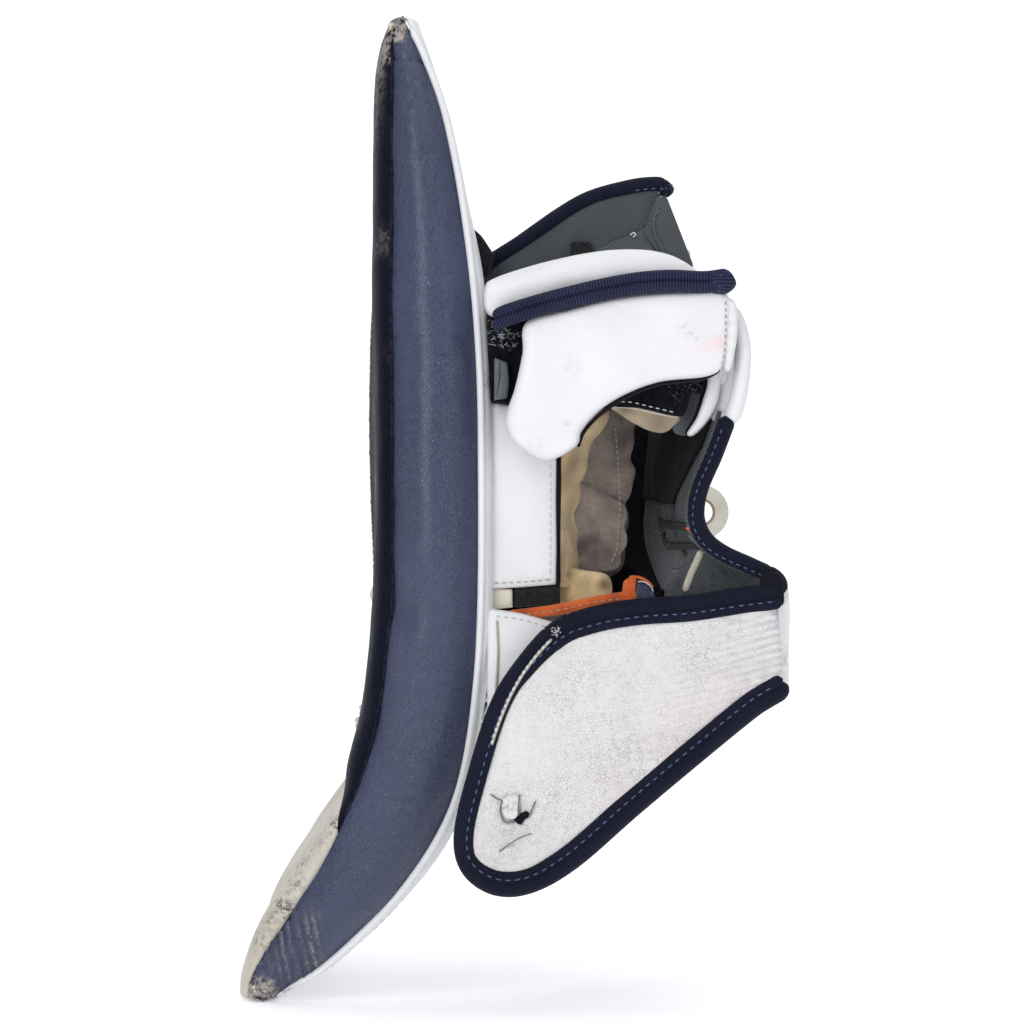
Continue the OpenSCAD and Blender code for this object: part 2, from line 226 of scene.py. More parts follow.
def grid_faces(rows, cols, wrap=False):
    faces = []
    for i in range(rows - 1):
        for j in range(cols if wrap else cols - 1):
            k = (j + 1) % cols
            faces.append((i * cols + j, i * cols + k, (i + 1) * cols + k, (i + 1) * cols + j))
    return faces


def closing_faces(rows, cols):
    """Joins the last ring of a tube to its first."""
    return [((rows - 1) * cols + j, (rows - 1) * cols + (j + 1) % cols, (j + 1) % cols, j)
        for j in range(cols)]


def end_faces(rows, cols):
    """Closes both ends of a tube."""
    return [tuple(range(cols))[::-1], tuple((rows - 1) * cols + k for k in range(cols))]


def tube_faces(rows, cols, base=0):
    """The skin and both ends of a tube whose points start at base."""
    return [tuple(base + v for v in f) for f in grid_faces(rows, cols, wrap=True) + end_faces(rows, cols)]


def grid_uv(grid):
    """Distances in millimetres along the rows and the columns of a grid of points."""
    across = np.concatenate([np.zeros((grid.shape[0], 1)),
                             np.cumsum(np.linalg.norm(np.diff(grid, axis=1), axis=2), axis=1)], axis=1)
    along = np.concatenate([np.zeros((1, grid.shape[1])),
                            np.cumsum(np.linalg.norm(np.diff(grid, axis=0), axis=2), axis=0)], axis=0)
    return np.stack([across, np.repeat(along.mean(axis=1)[:, None], grid.shape[1], 1)],
        axis=2).reshape(-1, 2)


def surface(name, grid, material, body, thick, wear=None, **more):
    """A sheet through a grid of points, [rows, columns, 3], with its thickness to both sides."""
    grid = np.asarray(grid, float)
    rows, cols = grid.shape[:2]
    marks = None if wear is None else wear(grid.reshape(-1, 3))
    piece = mesh_piece(name, grid.reshape(-1, 3), grid_faces(rows, cols), material, body,
                       uv=grid_uv(grid), wear=marks, **more)
    shell = piece.modifiers.new("thickness", "SOLIDIFY")
    shell.thickness = thick * MM
    shell.offset = 0.0
    return piece


def frames_along(path, up=(0, 1, 0), closed=False):
    """Unit side and lift vectors at each point of a path."""
    way = np.roll(path, -1, axis=0) - np.roll(path, 1, axis=0) if closed else np.gradient(path, axis=0)
    way /= np.linalg.norm(way, axis=1)[:, None]
    side = np.cross(way, np.array(up, float))
    side /= np.linalg.norm(side, axis=1)[:, None] + 1e-9
    return side, np.cross(side, way)


def cord_piece(name, path, size, material, body, sides=12, up=(0, 1, 0), closed=False, taper=True, **more):
    """A round or flattened cord along a path. size is its half width and half height."""
    path = np.asarray(path, float)
    wide, high = (size, size) if np.isscalar(size) else size
    side, lift = frames_along(path, up, closed)
    turn = np.linspace(0, 2 * math.pi, sides, endpoint=False)
    along = lengths(path)
    scale = np.ones(len(path))
    if taper and not closed:
        reach = min(max(wide, high), along[-1] / 3)
        near = np.minimum(along, along[-1] - along)
        scale = np.sqrt(np.clip(1 - (1 - np.clip(near / reach, 0, 1)) ** 2, 0.02, 1))
    ring = (np.cos(turn)[None, :, None] * side[:, None] * wide + np.sin(turn)[None, :, None]
        * lift[:, None] * high)
    grid = path[:, None] + ring * scale[:, None, None]
    faces = tube_faces(len(path), sides)
    if closed:
        faces = grid_faces(len(path), sides, wrap=True) + closing_faces(len(path), sides)
    around = (turn / (2 * math.pi))[None, :] * np.ones((len(path), 1)) * math.pi * (wide + high)
    uv = np.stack([around, np.repeat(along[:, None], sides, 1)], axis=2).reshape(-1, 2)
    return mesh_piece(name, grid.reshape(-1, 3), faces, material, body, uv=uv, **more)


def stitch_row(name, path, material, body, step=4.0, length=2.7, thick=0.35, up=(0, 1, 0), **more):
    """A row of sewn stitches: short threads along a path that dip in at both ends."""
    path = np.asarray(path, float)
    along = lengths(path)
    points, faces = [], []
    sides, rings = 6, 5
    for start in np.arange(step / 2, along[-1] - length, step):
        at = np.linspace(start, start + length, rings)
        spine = np.stack([np.interp(at, along, path[:, k]) for k in range(3)], axis=1)
        way = spine[-1] - spine[0]
        side = np.cross(way, up)
        side /= np.linalg.norm(side) + 1e-9
        lift = np.cross(side, way)
        lift /= np.linalg.norm(lift) + 1e-9
        base = len(points)
        for r in range(rings):
            s = r / (rings - 1)
            fat = thick * math.sqrt(max(1 - (2 * s - 1) ** 4, 0.04))
            sink = lift * thick * 0.9 * (2 * s - 1) ** 4
            for k in range(sides):
                a = 2 * math.pi * k / sides
                points.append(spine[r] - sink + fat * (math.cos(a) * side + math.sin(a) * lift))
        faces += tube_faces(rings, sides, base)
    return mesh_piece(name, points, faces, material, body, **more)


def edge_distance(points, outline):
    """Distance from each point to a closed outline."""
    a, b = outline, np.roll(outline, -1, axis=0)
    d = b - a
    out = np.full(len(points), 1e9)
    for i in range(len(a)):
        t = np.clip(((points - a[i]) @ d[i]) / max(d[i] @ d[i], 1e-9), 0, 1)
        out = np.minimum(out, np.linalg.norm(points - (a[i] + t[:, None] * d[i]), axis=1))
    return out


def within(points, outline):
    inside = np.zeros(len(points), bool)
    x, y = points[:, 0], points[:, 1]
    for a, b in zip(outline, np.roll(outline, -1, axis=0)):
        crosses = (a[1] > y) != (b[1] > y)
        at = (b[0] - a[0]) * (y - a[1]) / (b[1] - a[1] + 1e-12) + a[0]
        inside ^= crosses & (x < at)
    return inside


def pillow(name, outline, place, thick, material, body, crown=0.0, reach=14.0, edge=3.0, step=3.0,
        wear=None, **more):
    """A stuffed panel with a rounded edge. place(a, b, h) gives the point over [a, b] at height h."""
    ring = evenly(np.asarray(outline, float), step * 0.75, closed=True)
    area = np.sum(ring[:, 0] * np.roll(ring[:, 1], -1) - np.roll(ring[:, 0], -1) * ring[:, 1])
    if area < 0:
        ring = ring[::-1]
    way = np.roll(ring, -1, axis=0) - np.roll(ring, 1, axis=0)
    way /= np.linalg.norm(way, axis=1)[:, None] + 1e-9
    inward = np.stack([-way[:, 1], way[:, 0]], axis=1)
    points = [ring]
    for share in (0.12, 0.35, 0.7):
        inner = ring + inward * edge * share
        keep = within(inner, ring) & (edge_distance(inner, ring) > 0.94 * edge * share)
        points.append(inner[keep])
    low, high = ring.min(axis=0), ring.max(axis=0)
    rows = np.arange(low[1], high[1], step * 0.87)
    inner = np.array([(x + (k % 2) * step / 2, y) for k, y in enumerate(rows)
                      for x in np.arange(low[0], high[0], step)])
    keep = within(inner, ring)
    keep[keep] &= edge_distance(inner[keep], ring) > edge * 0.7 + step * 0.5
    points.append(inner[keep])
    flat = np.vstack(points)
    flat, _, faces, _, _, _ = delaunay_2d_cdt([Vector(p) for p in flat], [], [list(range(len(ring)))], 1,
        1e-5)
    flat = np.array([(p.x, p.y) for p in flat])
    depth = edge_distance(flat, ring)
    half = thick / 2 * np.sqrt(np.clip(1 - (1 - np.clip(depth / edge, 0, 1)) ** 2, 0, 1))
    swell = crown * (1 - np.exp(-depth / reach))
    on_edge = depth < 1e-3
    count = len(flat)
    upper = [place(p[0], p[1], h + s) for p, h, s in zip(flat, half, swell)]
    lower_id = np.arange(count)
    lower = []
    for i in range(count):
        if not on_edge[i]:
            lower_id[i] = count + len(lower)
            lower.append(place(flat[i][0], flat[i][1], -half[i]))
    all_faces = [tuple(f) for f in faces] + [tuple(lower_id[v] for v in f[::-1]) for f in faces]
    every = np.array(upper + lower, float)
    marks = None if wear is None else wear(every)
    return mesh_piece(name, every, all_faces, material, body, wear=marks, **more)


def facing(y0):
    """Places an [x, z] outline as a panel that faces -Y, at y0."""
    return lambda a, b, h: (a, y0 - h, b)


def tint(piece, name, marks):
    """Marks a piece's points for its material, strongest at each [x, z, radius, strength]."""
    points = np.array([v.co for v in piece.data.vertices]) / MM
    mark(piece.data, name, blobs(marks)(points))


def blobs(marks):
    """Wear that is strongest at each [x, z, radius, strength]."""
    def wear(points):
        out = np.zeros(len(points))
        for x, z, radius, strength in marks:
            away = (points[:, 0] - x) ** 2 + (points[:, 2] - z) ** 2
            out = np.maximum(out, strength * np.exp(-away / radius ** 2))
        return out
    return wear


PUFF_PRESSURE = 4.0
PUFF_FRAMES = 14


def puff(piece, voxel, cap):
    """Swells a pad as stuffed cloth does, moving no point further than cap."""
    scene = bpy.context.scene
    remesh = piece.modifiers.new("even", "REMESH")
    remesh.mode = "VOXEL"
    remesh.voxel_size = voxel * MM
    depsgraph = bpy.context.evaluated_depsgraph_get()
    even = bpy.data.meshes.new_from_object(piece.evaluated_get(depsgraph))
    piece.modifiers.clear()
    materials = list(piece.data.materials)
    piece.data = even
    even.materials.clear()
    for material in materials:
        even.materials.append(material)
    rest = np.array([v.co for v in even.vertices])
    cloth = piece.modifiers.new("cloth", "CLOTH")
    cloth.settings.use_pressure = True
    cloth.settings.uniform_pressure_force = PUFF_PRESSURE
    cloth.settings.effector_weights.gravity = 0
    cloth.settings.quality = 4
    cloth.settings.tension_stiffness = 12
    cloth.settings.compression_stiffness = 12
    cloth.settings.mass = 0.2
    for number in range(1, PUFF_FRAMES + 1):
        scene.frame_set(number)
    depsgraph = bpy.context.evaluated_depsgraph_get()
    swollen = bpy.data.meshes.new_from_object(piece.evaluated_get(depsgraph))
    now = np.array([v.co for v in swollen.vertices])
    move = now - rest
    far = np.linalg.norm(move, axis=1)[:, None] + 1e-12
    move *= np.minimum(1, cap * MM / far)
    piece.modifiers.clear()
    even.vertices.foreach_set("co", (rest + move).astype(np.float32).ravel())
    even.polygons.foreach_set("use_smooth", [True] * len(even.polygons))
    even.update()
    bpy.data.meshes.remove(swollen)
    scene.frame_set(1)
    piece.modifiers.new("smooth", "SUBSURF").levels = 1
    piece.modifiers["smooth"].render_levels = 1


# ---------------------------------------------------------------- materials
class Shader:
    """A short way to write a node material."""

    def __init__(self, name, rough, **sockets):
        self.material = bpy.data.materials.new(name)
        self.material.use_nodes = True
        self.tree = self.material.node_tree
        self.out = self.tree.nodes["Principled BSDF"]
        self.out.inputs["Roughness"].default_value = rough
        for socket, value in sockets.items():
            self.out.inputs[socket.replace("_", " ")].default_value = value
        self.here = self.tree.nodes.new("ShaderNodeTexCoord").outputs["Object"]

    def node(self, kind, values=(), **settings):
        node = self.tree.nodes.new("ShaderNode" + kind)
        for key, value in settings.items():
            setattr(node, key, value)
        for key, value in dict(values).items():
            if hasattr(value, "is_output"):
                self.tree.links.new(value, node.inputs[key])
            else:
                node.inputs[key].default_value = value
        return node

    def stretched(self, scale, turn=(0, 0, 0), source=None):
        return self.node("Mapping", {"Vector": source or self.here, "Scale": scale,
            "Rotation": turn}).outputs[0]

    def noise(self, scale, detail=4.0, rough=0.55, where=None):
        return self.node("TexNoise", {"Vector": where or self.here, "Scale": scale, "Detail": detail,
                                      "Roughness": rough}).outputs["Fac"]

    def cells(self, scale, where=None, feature="F1", measure="Distance"):
        return self.node("TexVoronoi", {"Vector": where or self.here, "Scale": scale},
            feature=feature).outputs[measure]

    def level(self, value, low, high, to_low=0.0, to_high=1.0):
        return self.node("MapRange", {"Value": value, "From Min": low, "From Max": high, "To Min": to_low,
                                      "To Max": to_high}).outputs[0]

    def maths(self, kind, a, b=0.0):
        return self.node("Math", {0: a, 1: b}, operation=kind, use_clamp=False).outputs[0]

    def mix(self, factor, a, b):
        node = self.node("Mix", {}, data_type="RGBA")
        for socket, value in ((0, factor), (6, a), (7, b)):
            if hasattr(value, "is_output"):
                self.tree.links.new(value, node.inputs[socket])
            else:
                node.inputs[socket].default_value = value if socket == 0 else (*value[:3], 1)
        return node.outputs[2]

    def mark(self, name):
        return self.node("Attribute", attribute_name=name).outputs["Fac"]

    def along(self):
        return self.node("UVMap", uv_map="along").outputs[0]

    def bump(self, height, depth, strength=1.0):
        """Adds relief, with depth in millimetres."""
        before = getattr(self, "relief", None)
        values = {"Height": height, "Distance": depth * MM, "Strength": strength}
        if before is not None:
            values["Normal"] = before
        self.relief = self.node("Bump", values).outputs[0]

    def done(self, colour=None, rough=None):
        if colour is not None:
            self.tree.links.new(colour, self.out.inputs["Base Color"])
        if rough is not None:
            self.tree.links.new(rough, self.out.inputs["Roughness"])
        if getattr(self, "relief", None) is not None:
            self.tree.links.new(self.relief, self.out.inputs["Normal"])
        return self.material


def pebbled_leather(name, dark, light, worn, rough=(0.30, 0.46), pebble=950.0, creases=True, shine=0.75):
    """Grained leather with creases, patchy dye, pale worn marks, painted glints on the pebble tops and
    painted shade in the cracks between them.
    """
    s = Shader(name, rough[0], Specular_IOR_Level=shine, Specular_Tint=(0.74, 0.84, 1.0, 1.0),
        Coat_Weight=shine * 0.36, Coat_Roughness=0.27)
    warp = s.noise(60.0, 3.0)
    drift = s.node("VectorMath", {0: s.here, 1: s.node("VectorMath", {0: s.node("TexNoise", {
        "Vector": s.here, "Scale": 140.0, "Detail": 3.0}).outputs["Color"], 1: (0.003, 0.003, 0.003)},
        operation="MULTIPLY").outputs[0]}, operation="ADD").outputs[0]
    grain = s.level(s.cells(pebble, s.stretched((1.0, 1.0, 1.25), source=drift), "DISTANCE_TO_EDGE"), 0.0,
        0.28)
    fine = s.noise(pebble * 2.2, 3.0)
    patches = s.noise(14.0, 5.0, 0.6)
    colour = s.mix(s.level(patches, 0.3, 0.7), dark, light)
    # painted shade: the cracks between the pebbles are darkened
    colour = s.mix(s.level(grain, 0.0, 0.5, 0.75, 0.0), colour, tuple(c * 0.35 for c in dark))
    # painted highlight: the pebble tops are lightened into glints
    colour = s.mix(s.level(grain, 0.55, 1.0, 0.0, 0.6), colour, tuple(c * 1.7 for c in light))
    if creases:
        folds = s.noise(1.0, 5.0, 0.6, s.stretched((26.0, 26.0, 105.0)))
        s.bump(s.level(folds, 0.35, 0.65), 0.5, 0.4)
    s.bump(warp, 1.2, 0.25)
    s.bump(grain, 0.34, 0.6)
    s.bump(fine, 0.07, 0.5)
    rub = s.maths("MULTIPLY", s.mark("wear"), s.level(s.noise(330.0, 6.0, 0.75), 0.42, 0.60))
    rub = s.node("Clamp", {"Value": s.maths("MULTIPLY", rub, 1.6)}).outputs[0]
    colour = s.mix(rub, colour, worn)
    gloss = s.level(s.maths("ADD", patches, s.maths("MULTIPLY", rub, 0.8)), 0.3, 1.1, rough[0], rough[1])
    return s.done(colour, gloss)


def white_leather(name, base, shade, stain, crackle=0.0, rough=0.42, soft=(0.78, 0.45, 0.47), even=0.12):
    """Smooth white leather with soft dirt, scuffs and, where worn, a crackle of fine lines; where marked
    ridged, grooves with painted shade in them.
    """
    s = Shader(name, rough, Specular_IOR_Level=0.42)
    broad = s.noise(22.0, 5.0, 0.6)
    fine = s.noise(260.0, 5.0, 0.65)
    colour = s.mix(s.level(broad, 0.35, 0.75), base, shade)
    blush = s.maths("MULTIPLY", s.mark("blush"), s.level(s.noise(120.0, 4.0, 0.7), 0.35, 0.65))
    colour = s.mix(blush, colour, (0.86, 0.50, 0.53))
    pores = s.cells(900.0)
    s.bump(s.noise(1.0, 4.0, 0.6, s.stretched((60.0, 60.0, 40.0))), 0.8, 0.35)
    s.bump(s.level(pores, 0.0, 0.6), 0.08, 0.5)
    s.bump(fine, 0.06, 0.5)
    if crackle:
        warp = s.node("VectorMath", {0: s.here, 1: s.node("VectorMath", {0: s.node("TexNoise", {
            "Vector": s.here, "Scale": 90.0, "Detail": 2.0}).outputs["Color"], 1: (0.004, 0.004, 0.004)},
            operation="MULTIPLY").outputs[0]}, operation="ADD").outputs[0]
        lines = s.level(s.cells(720.0, warp, "DISTANCE_TO_EDGE"), 0.0, 0.13, 1.0, 0.0)
        broken = s.level(s.noise(420.0, 3.0, 0.7), 0.42, 0.62)
        where = s.node("Clamp", {"Value": s.maths("ADD", s.level(s.noise(26.0, 4.0, 0.6), 0.36, 0.66, even,
            0.8), s.mark("crazed"))}).outputs[0]
        net = s.maths("MULTIPLY", s.maths("MULTIPLY", lines, broken), where)
        hue = s.mix(s.level(s.noise(17.0, 2.0), 0.42, 0.6), stain, soft)
        colour = s.mix(s.node("Clamp", {"Value": s.maths("MULTIPLY", net, crackle)}).outputs[0], colour,
            hue)
        s.bump(s.maths("MULTIPLY", lines, where), -0.22, 0.8)
    ridge = s.node("TexWave", {"Vector": s.stretched((1, 1, 1), (0, math.radians(14), 0)), "Scale": 105.0,
        "Distortion": 1.2, "Detail": 1.0, "Detail Scale": 0.4}, bands_direction="Z").outputs["Fac"]
    groove = s.maths("MULTIPLY", s.level(ridge, 0.0, 0.45, 1.0, 0.0), s.mark("ridged"))
    s.bump(groove, -0.5, 0.8)
    # painted shade: the ridge grooves are darkened towards grey as well as pressed in by the bump
    colour = s.mix(s.maths("MULTIPLY", groove, 0.32), colour, (0.40, 0.40, 0.41))
    dirt = s.maths("MULTIPLY", s.mark("wear"),
        s.level(s.noise(1.0, 6.0, 0.75, s.stretched((250.0, 250.0, 420.0))), 0.46, 0.60))
    colour = s.mix(s.node("Clamp", {"Value": s.maths("MULTIPLY", dirt, 1.5)}).outputs[0], colour, stain)
    return s.done(colour, s.level(broad, 0.2, 0.8, rough - 0.07, rough + 0.12))


def twill(name, dark, light, pitch=0.95, herring=False):
    """Woven nylon with a diagonal rib, or a herringbone of them."""
    s = Shader(name, 0.66, Sheen_Weight=0.1, Sheen_Roughness=0.5, Specular_IOR_Level=0.35)
    scale = 1.0 / (pitch * MM)
    first = s.node("TexWave", {"Vector": s.stretched((1, 1, 1), (0, math.radians(38), 0)),
        "Scale": scale * 0.314, "Distortion": 0.6, "Detail": 1.0}, bands_direction="X").outputs["Fac"]
    second = s.node("TexWave", {"Vector": s.stretched((1, 1, 1), (0, math.radians(-38), 0)),
        "Scale": scale * 0.314, "Distortion": 0.6, "Detail": 1.0}, bands_direction="X").outputs["Fac"]
    rib = first
    if herring:
        stripes = s.node("TexWave", {"Vector": s.here, "Scale": 18.0}, bands_direction="X").outputs["Fac"]
        pick = s.level(stripes, 0.48, 0.52)
        rib = s.maths("ADD", s.maths("MULTIPLY", first, pick),
                      s.maths("MULTIPLY", second, s.maths("SUBTRACT", 1.0, pick)))
    thread = s.node("TexWave", {"Vector": s.here, "Scale": scale * 0.6, "Distortion": 1.0},
                    bands_direction="Z").outputs["Fac"]
    weave = s.maths("ADD", s.maths("MULTIPLY", rib, 0.75), s.maths("MULTIPLY", thread, 0.25))
    colour = s.mix(weave, dark, light)
    colour = s.mix(s.level(s.noise(30.0, 4.0), 0.4, 0.8, 0.0, 0.5), colour, tuple(c * 0.45 for c in dark))
    s.bump(weave, 0.18, 0.8)
    s.bump(s.noise(45.0, 3.0), 1.4, 0.3)
    return s.done(colour)


def grosgrain(name, dark, light, pitch=1.05, fuzz=0.0):
    """Ribbed binding tape: ribs lie across the tape."""
    s = Shader(name, 0.8, Sheen_Weight=0.02, Sheen_Roughness=0.5, Specular_IOR_Level=0.2)
    ribs = s.node("TexWave", {"Vector": s.along(), "Scale": 0.314 / (pitch * MM), "Distortion": 0.35,
                              "Detail": 1.0, "Detail Scale": 3.0}, bands_direction="Y").outputs["Fac"]
    cross = s.node("TexWave", {"Vector": s.along(), "Scale": 0.314 / (0.55 * MM), "Distortion": 0.5},
                   bands_direction="X").outputs["Fac"]
    weave = s.maths("ADD", s.maths("MULTIPLY", ribs, 0.8), s.maths("MULTIPLY", cross, 0.2))
    colour = s.mix(s.level(weave, 0.15, 0.9), dark, light)
    patches = s.noise(40.0, 4.0)
    colour = s.mix(s.level(patches, 0.45, 0.75, 0.0, 0.45), colour, tuple(c * 0.6 for c in dark))
    pale = s.maths("MULTIPLY", s.level(s.noise(520.0, 5.0, 0.8), 0.60, 0.76), 0.35)
    colour = s.mix(pale, colour, tuple(min(c * 3.0 + 0.03, 1) for c in light))
    s.bump(weave, 0.28, 0.9)
    s.bump(s.noise(900.0, 3.0), 0.12 + fuzz, 0.6)
    return s.done(colour)


def suede(name, dark, light, grime, nap=0.25):
    """Napped leather with grime in its folds."""
    s = Shader(name, 0.93, Sheen_Weight=nap, Sheen_Roughness=0.6, Specular_IOR_Level=0.25)
    colour = s.mix(s.level(s.noise(55.0, 6.0, 0.7), 0.32, 0.68), dark, light)
    colour = s.mix(s.level(s.noise(650.0, 3.0, 0.7), 0.48, 0.72, 0.0, 0.5), colour, dark)
    colour = s.mix(s.level(s.noise(24.0, 4.0, 0.6), 0.54, 0.72, 0.0, 0.75), colour, grime)
    colour = s.mix(s.node("Clamp", {"Value": s.mark("wear")}).outputs[0], colour, grime)
    s.bump(s.noise(38.0, 4.0), 2.2, 0.45)
    s.bump(s.noise(1100.0, 3.0, 0.7), 0.15, 0.7)
    return s.done(colour)


def felt(name, dark, light, depth=0.3):
    """Brushed black liner."""
    s = Shader(name, 0.95, Sheen_Weight=0.05, Sheen_Roughness=0.55, Specular_IOR_Level=0.15)
    fibres = s.noise(1.0, 5.0, 0.8, s.stretched((700.0, 700.0, 260.0)))
    s.bump(fibres, depth, 0.9)
    return s.done(s.mix(s.level(fibres, 0.45, 0.75), dark, light))


def thread(name, colour, rough=0.6):
    """Twisted sewing thread or lace."""
    s = Shader(name, rough, Sheen_Weight=0.2)
    twist = s.noise(1.0, 3.0, 0.6, s.stretched((900.0, 900.0, 900.0)))
    s.bump(twist, 0.12, 0.8)
    return s.done(s.mix(s.level(twist, 0.35, 0.75), tuple(c * 0.72 for c in colour), colour))


def moulded(name, dark, light, rough=0.34):
    """Worn moulded plastic."""
    s = Shader(name, rough, Specular_IOR_Level=0.5)
    clouds = s.noise(75.0, 5.0, 0.6)
    scratches = s.noise(1.0, 4.0, 0.7, s.stretched((300.0, 40.0, 1400.0)))
    s.bump(scratches, 0.05, 0.5)
    s.bump(clouds, 0.35, 0.3)
    return s.done(s.mix(s.level(clouds, 0.35, 0.7), dark, light),
        s.level(scratches, 0.3, 0.7, rough, rough + 0.25))


def webbing(name, dark, light):
    """Flat woven strap."""
    s = Shader(name, 0.8, Sheen_Weight=0.05, Specular_IOR_Level=0.3)
    weave = s.cells(1.0, s.stretched((900.0, 900.0, 480.0)))
    s.bump(s.level(weave, 0.0, 0.7, 1.0, 0.0), 0.2, 0.8)
    return s.done(s.mix(s.level(weave, 0.1, 0.7), light, dark))


def studio_floor():
    s = Shader("studio_floor", 0.9, Emission_Color=(0.97, 0.98, 1.0, 1.0), Emission_Strength=0.32)
    grain = s.noise(9.0, 3.0)
    return s.done(s.mix(s.level(grain, 0.3, 0.7), (0.90, 0.905, 0.915), (0.93, 0.935, 0.94)))


NAVY = pebbled_leather("navy_band_leather", (0.007, 0.010, 0.040), (0.017, 0.024, 0.088),
    (0.42, 0.36, 0.30), rough=(0.30, 0.40), shine=0.9)
NAVY_FACE = pebbled_leather("navy_face_leather", (0.004, 0.005, 0.012), (0.008, 0.009, 0.020),
    (0.30, 0.27, 0.25), rough=(0.42, 0.56), pebble=1150.0, creases=False, shine=0.05)
WHITE = white_leather("white_leather", (0.79, 0.79, 0.805), (0.72, 0.72, 0.735), (0.30, 0.29, 0.29))
FLAP_WHITE = white_leather("cracked_white_leather", (0.76, 0.75, 0.75), (0.68, 0.655, 0.65),
    (0.24, 0.20, 0.18), 0.62, 0.48, (0.48, 0.33, 0.31), 0.42)
CREAM = white_leather("scuffed_cream_leather", (0.62, 0.58, 0.50), (0.50, 0.455, 0.375),
    (0.06, 0.055, 0.055), 0.22, 0.5, (0.30, 0.24, 0.18))
OFF_WHITE = white_leather("yellowed_leather", (0.72, 0.69, 0.58), (0.62, 0.57, 0.45),
    (0.25, 0.21, 0.15), 0.3)
ORANGE = suede("orange_leather", (0.54, 0.090, 0.024), (0.82, 0.19, 0.046), (0.16, 0.035, 0.016), 0.08)
TAN = suede("tan_palm_leather", (0.55, 0.39, 0.19), (0.86, 0.68, 0.42), (0.19, 0.125, 0.07))
SUEDE = suede("grey_suede", (0.20, 0.158, 0.136), (0.42, 0.350, 0.300), (0.075, 0.058, 0.052))
PALE_SUEDE = suede("pale_suede", (0.40, 0.31, 0.21), (0.56, 0.46, 0.33), (0.13, 0.095, 0.07))
NYLON = twill("grey_twill", (0.020, 0.024, 0.029), (0.120, 0.132, 0.145))
HERRING = twill("grey_herringbone", (0.010, 0.012, 0.016), (0.150, 0.172, 0.195), herring=True)
BINDING = grosgrain("navy_binding", (0.0015, 0.002, 0.008), (0.008, 0.010, 0.034))
RIBBED = grosgrain("navy_ribbed_binding", (0.0045, 0.0055, 0.020), (0.030, 0.034, 0.088), 1.25, 0.1)
FELT = felt("black_felt", (0.0025, 0.003, 0.005), (0.013, 0.015, 0.021))
BLACK_WEB = webbing("black_webbing", (0.004, 0.004, 0.005), (0.017, 0.017, 0.019))
BLUE_THREAD = thread("blue_thread", (0.065, 0.11, 0.25))
WHITE_THREAD = thread("white_thread", (0.74, 0.74, 0.74))
OLD_THREAD = thread("yellowed_thread", (0.50, 0.46, 0.36))
DARK_THREAD = thread("grey_thread", (0.17, 0.175, 0.19))
LACE = thread("white_lace", (0.72, 0.72, 0.73), 0.5)
CREAM_LACE = thread("cream_lace", (0.66, 0.62, 0.50), 0.5)
IVORY = moulded("ivory_plastic", (0.68, 0.64, 0.52), (0.80, 0.78, 0.70))
RUST = moulded("brown_hub", (0.30, 0.20, 0.13), (0.46, 0.34, 0.24), 0.5)
GREY_PLASTIC = moulded("grey_plastic", (0.075, 0.088, 0.105), (0.15, 0.17, 0.195), 0.4)
FLOOR = studio_floor()


# ---------------------------------------------------------------- floor
def make_stage():
    """A pale floor that rises in one sweep behind the glove."""
    reach, wide, bend, height = 1600.0, 4200.0, 700.0, 3600.0
    profile = [(-3200.0, FLOOR_Z), (reach, FLOOR_Z)]
    for k in range(1, 17):
        a = math.pi / 2 * k / 16
        profile.append((reach + bend * math.sin(a), FLOOR_Z + bend * (1 - math.cos(a))))
    profile.append((reach + bend, FLOOR_Z + height))
    grid = np.array([[(x, y, z) for x in (-wide, wide)] for y, z in profile])
    sweep = mesh_piece("studio_sweep", grid.reshape(-1, 3), grid_faces(len(profile), 2), FLOOR, None)


make_stage()


# ---------------------------------------------------------------- the board's own surface
# The profiles are part.scad's, apart from FRONT_LINE, which was moved by up to 3.4 mm.
FRONT_LINE = [[-204, -157], [-195, -156], [-176, -149.2], [-148, -130.8], [-125, -115.4], [-109, -112.4],
    [-90, -107.4], [-57, -102.8], [-20, -101], [40, -101], [90, -102], [140, -102.2], [176, -101.6],
    [190, -99], [196, -96]]
BACK_LINE = [[-204, -140], [-198, -127], [-190, -115], [-168, -91], [-140, -70], [-115, -62], [-82, -56],
             [-50, -53], [0, -53], [45, -53], [94, -57], [123, -63], [160, -71], [184, -79], [196, -84]]
THUMB_LINE = [[-204, 62], [-198, 130], [-185, 178], [-165, 202], [-145, 210], [-125, 205], [-100, 188],
              [-80, 166], [-60, 144], [-52, 139]]
TIP_LINE = [[-48, 246], [-36, 257], [-15, 269], [10, 277], [40, 279], [70, 271], [100, 253], [130, 224],
            [155, 187], [175, 140], [188, 92]]
WEB_LINE = [[-136, 222], [-110, 233], [-85, 241], [-57, 247]]
# Where the seam in front of the heel band and the piping behind it lie, [height, x]
SEAM_LINE = [[-204, -153], [-195, -151], [-172, -136.6], [-151, -123], [-127, -111.4], [-110, -104.6],
    [-82, -98], [-57, -95], [-41, -93], [40, -93.2], [100, -93.8], [180, -94], [190, -94], [196, -93]]
BAND_LINE = [[-204, -143], [-201, -138.5], [-195, -126.5], [-180, -108.5], [-160, -89.6], [-135, -73.4],
    [-111, -65.2], [-78, -60.3], [-41, -58.2], [20, -58], [49, -58.5], [82, -60.6], [115, -64.6],
    [143.5, -69.4], [168, -75.4], [187, -83.4], [196, -89]]
BOARD_LOW, BOARD_HIGH = -203.0, 196.0
HEEL_MIDDLE, HEEL_RADIUS = 490.0, 520.0      # the heel's edge is an arc about [HEEL_MIDDLE, 0]
SEAM_WEAR = 0.04
BOARD_MIDDLE = np.array([-76.0, 100.0, 0.0])
THUMB_TOP = -52.0
BREAK_GAP = 3.5
FINGER_LOW, FINGER_HIGH = -48.0, 188.0
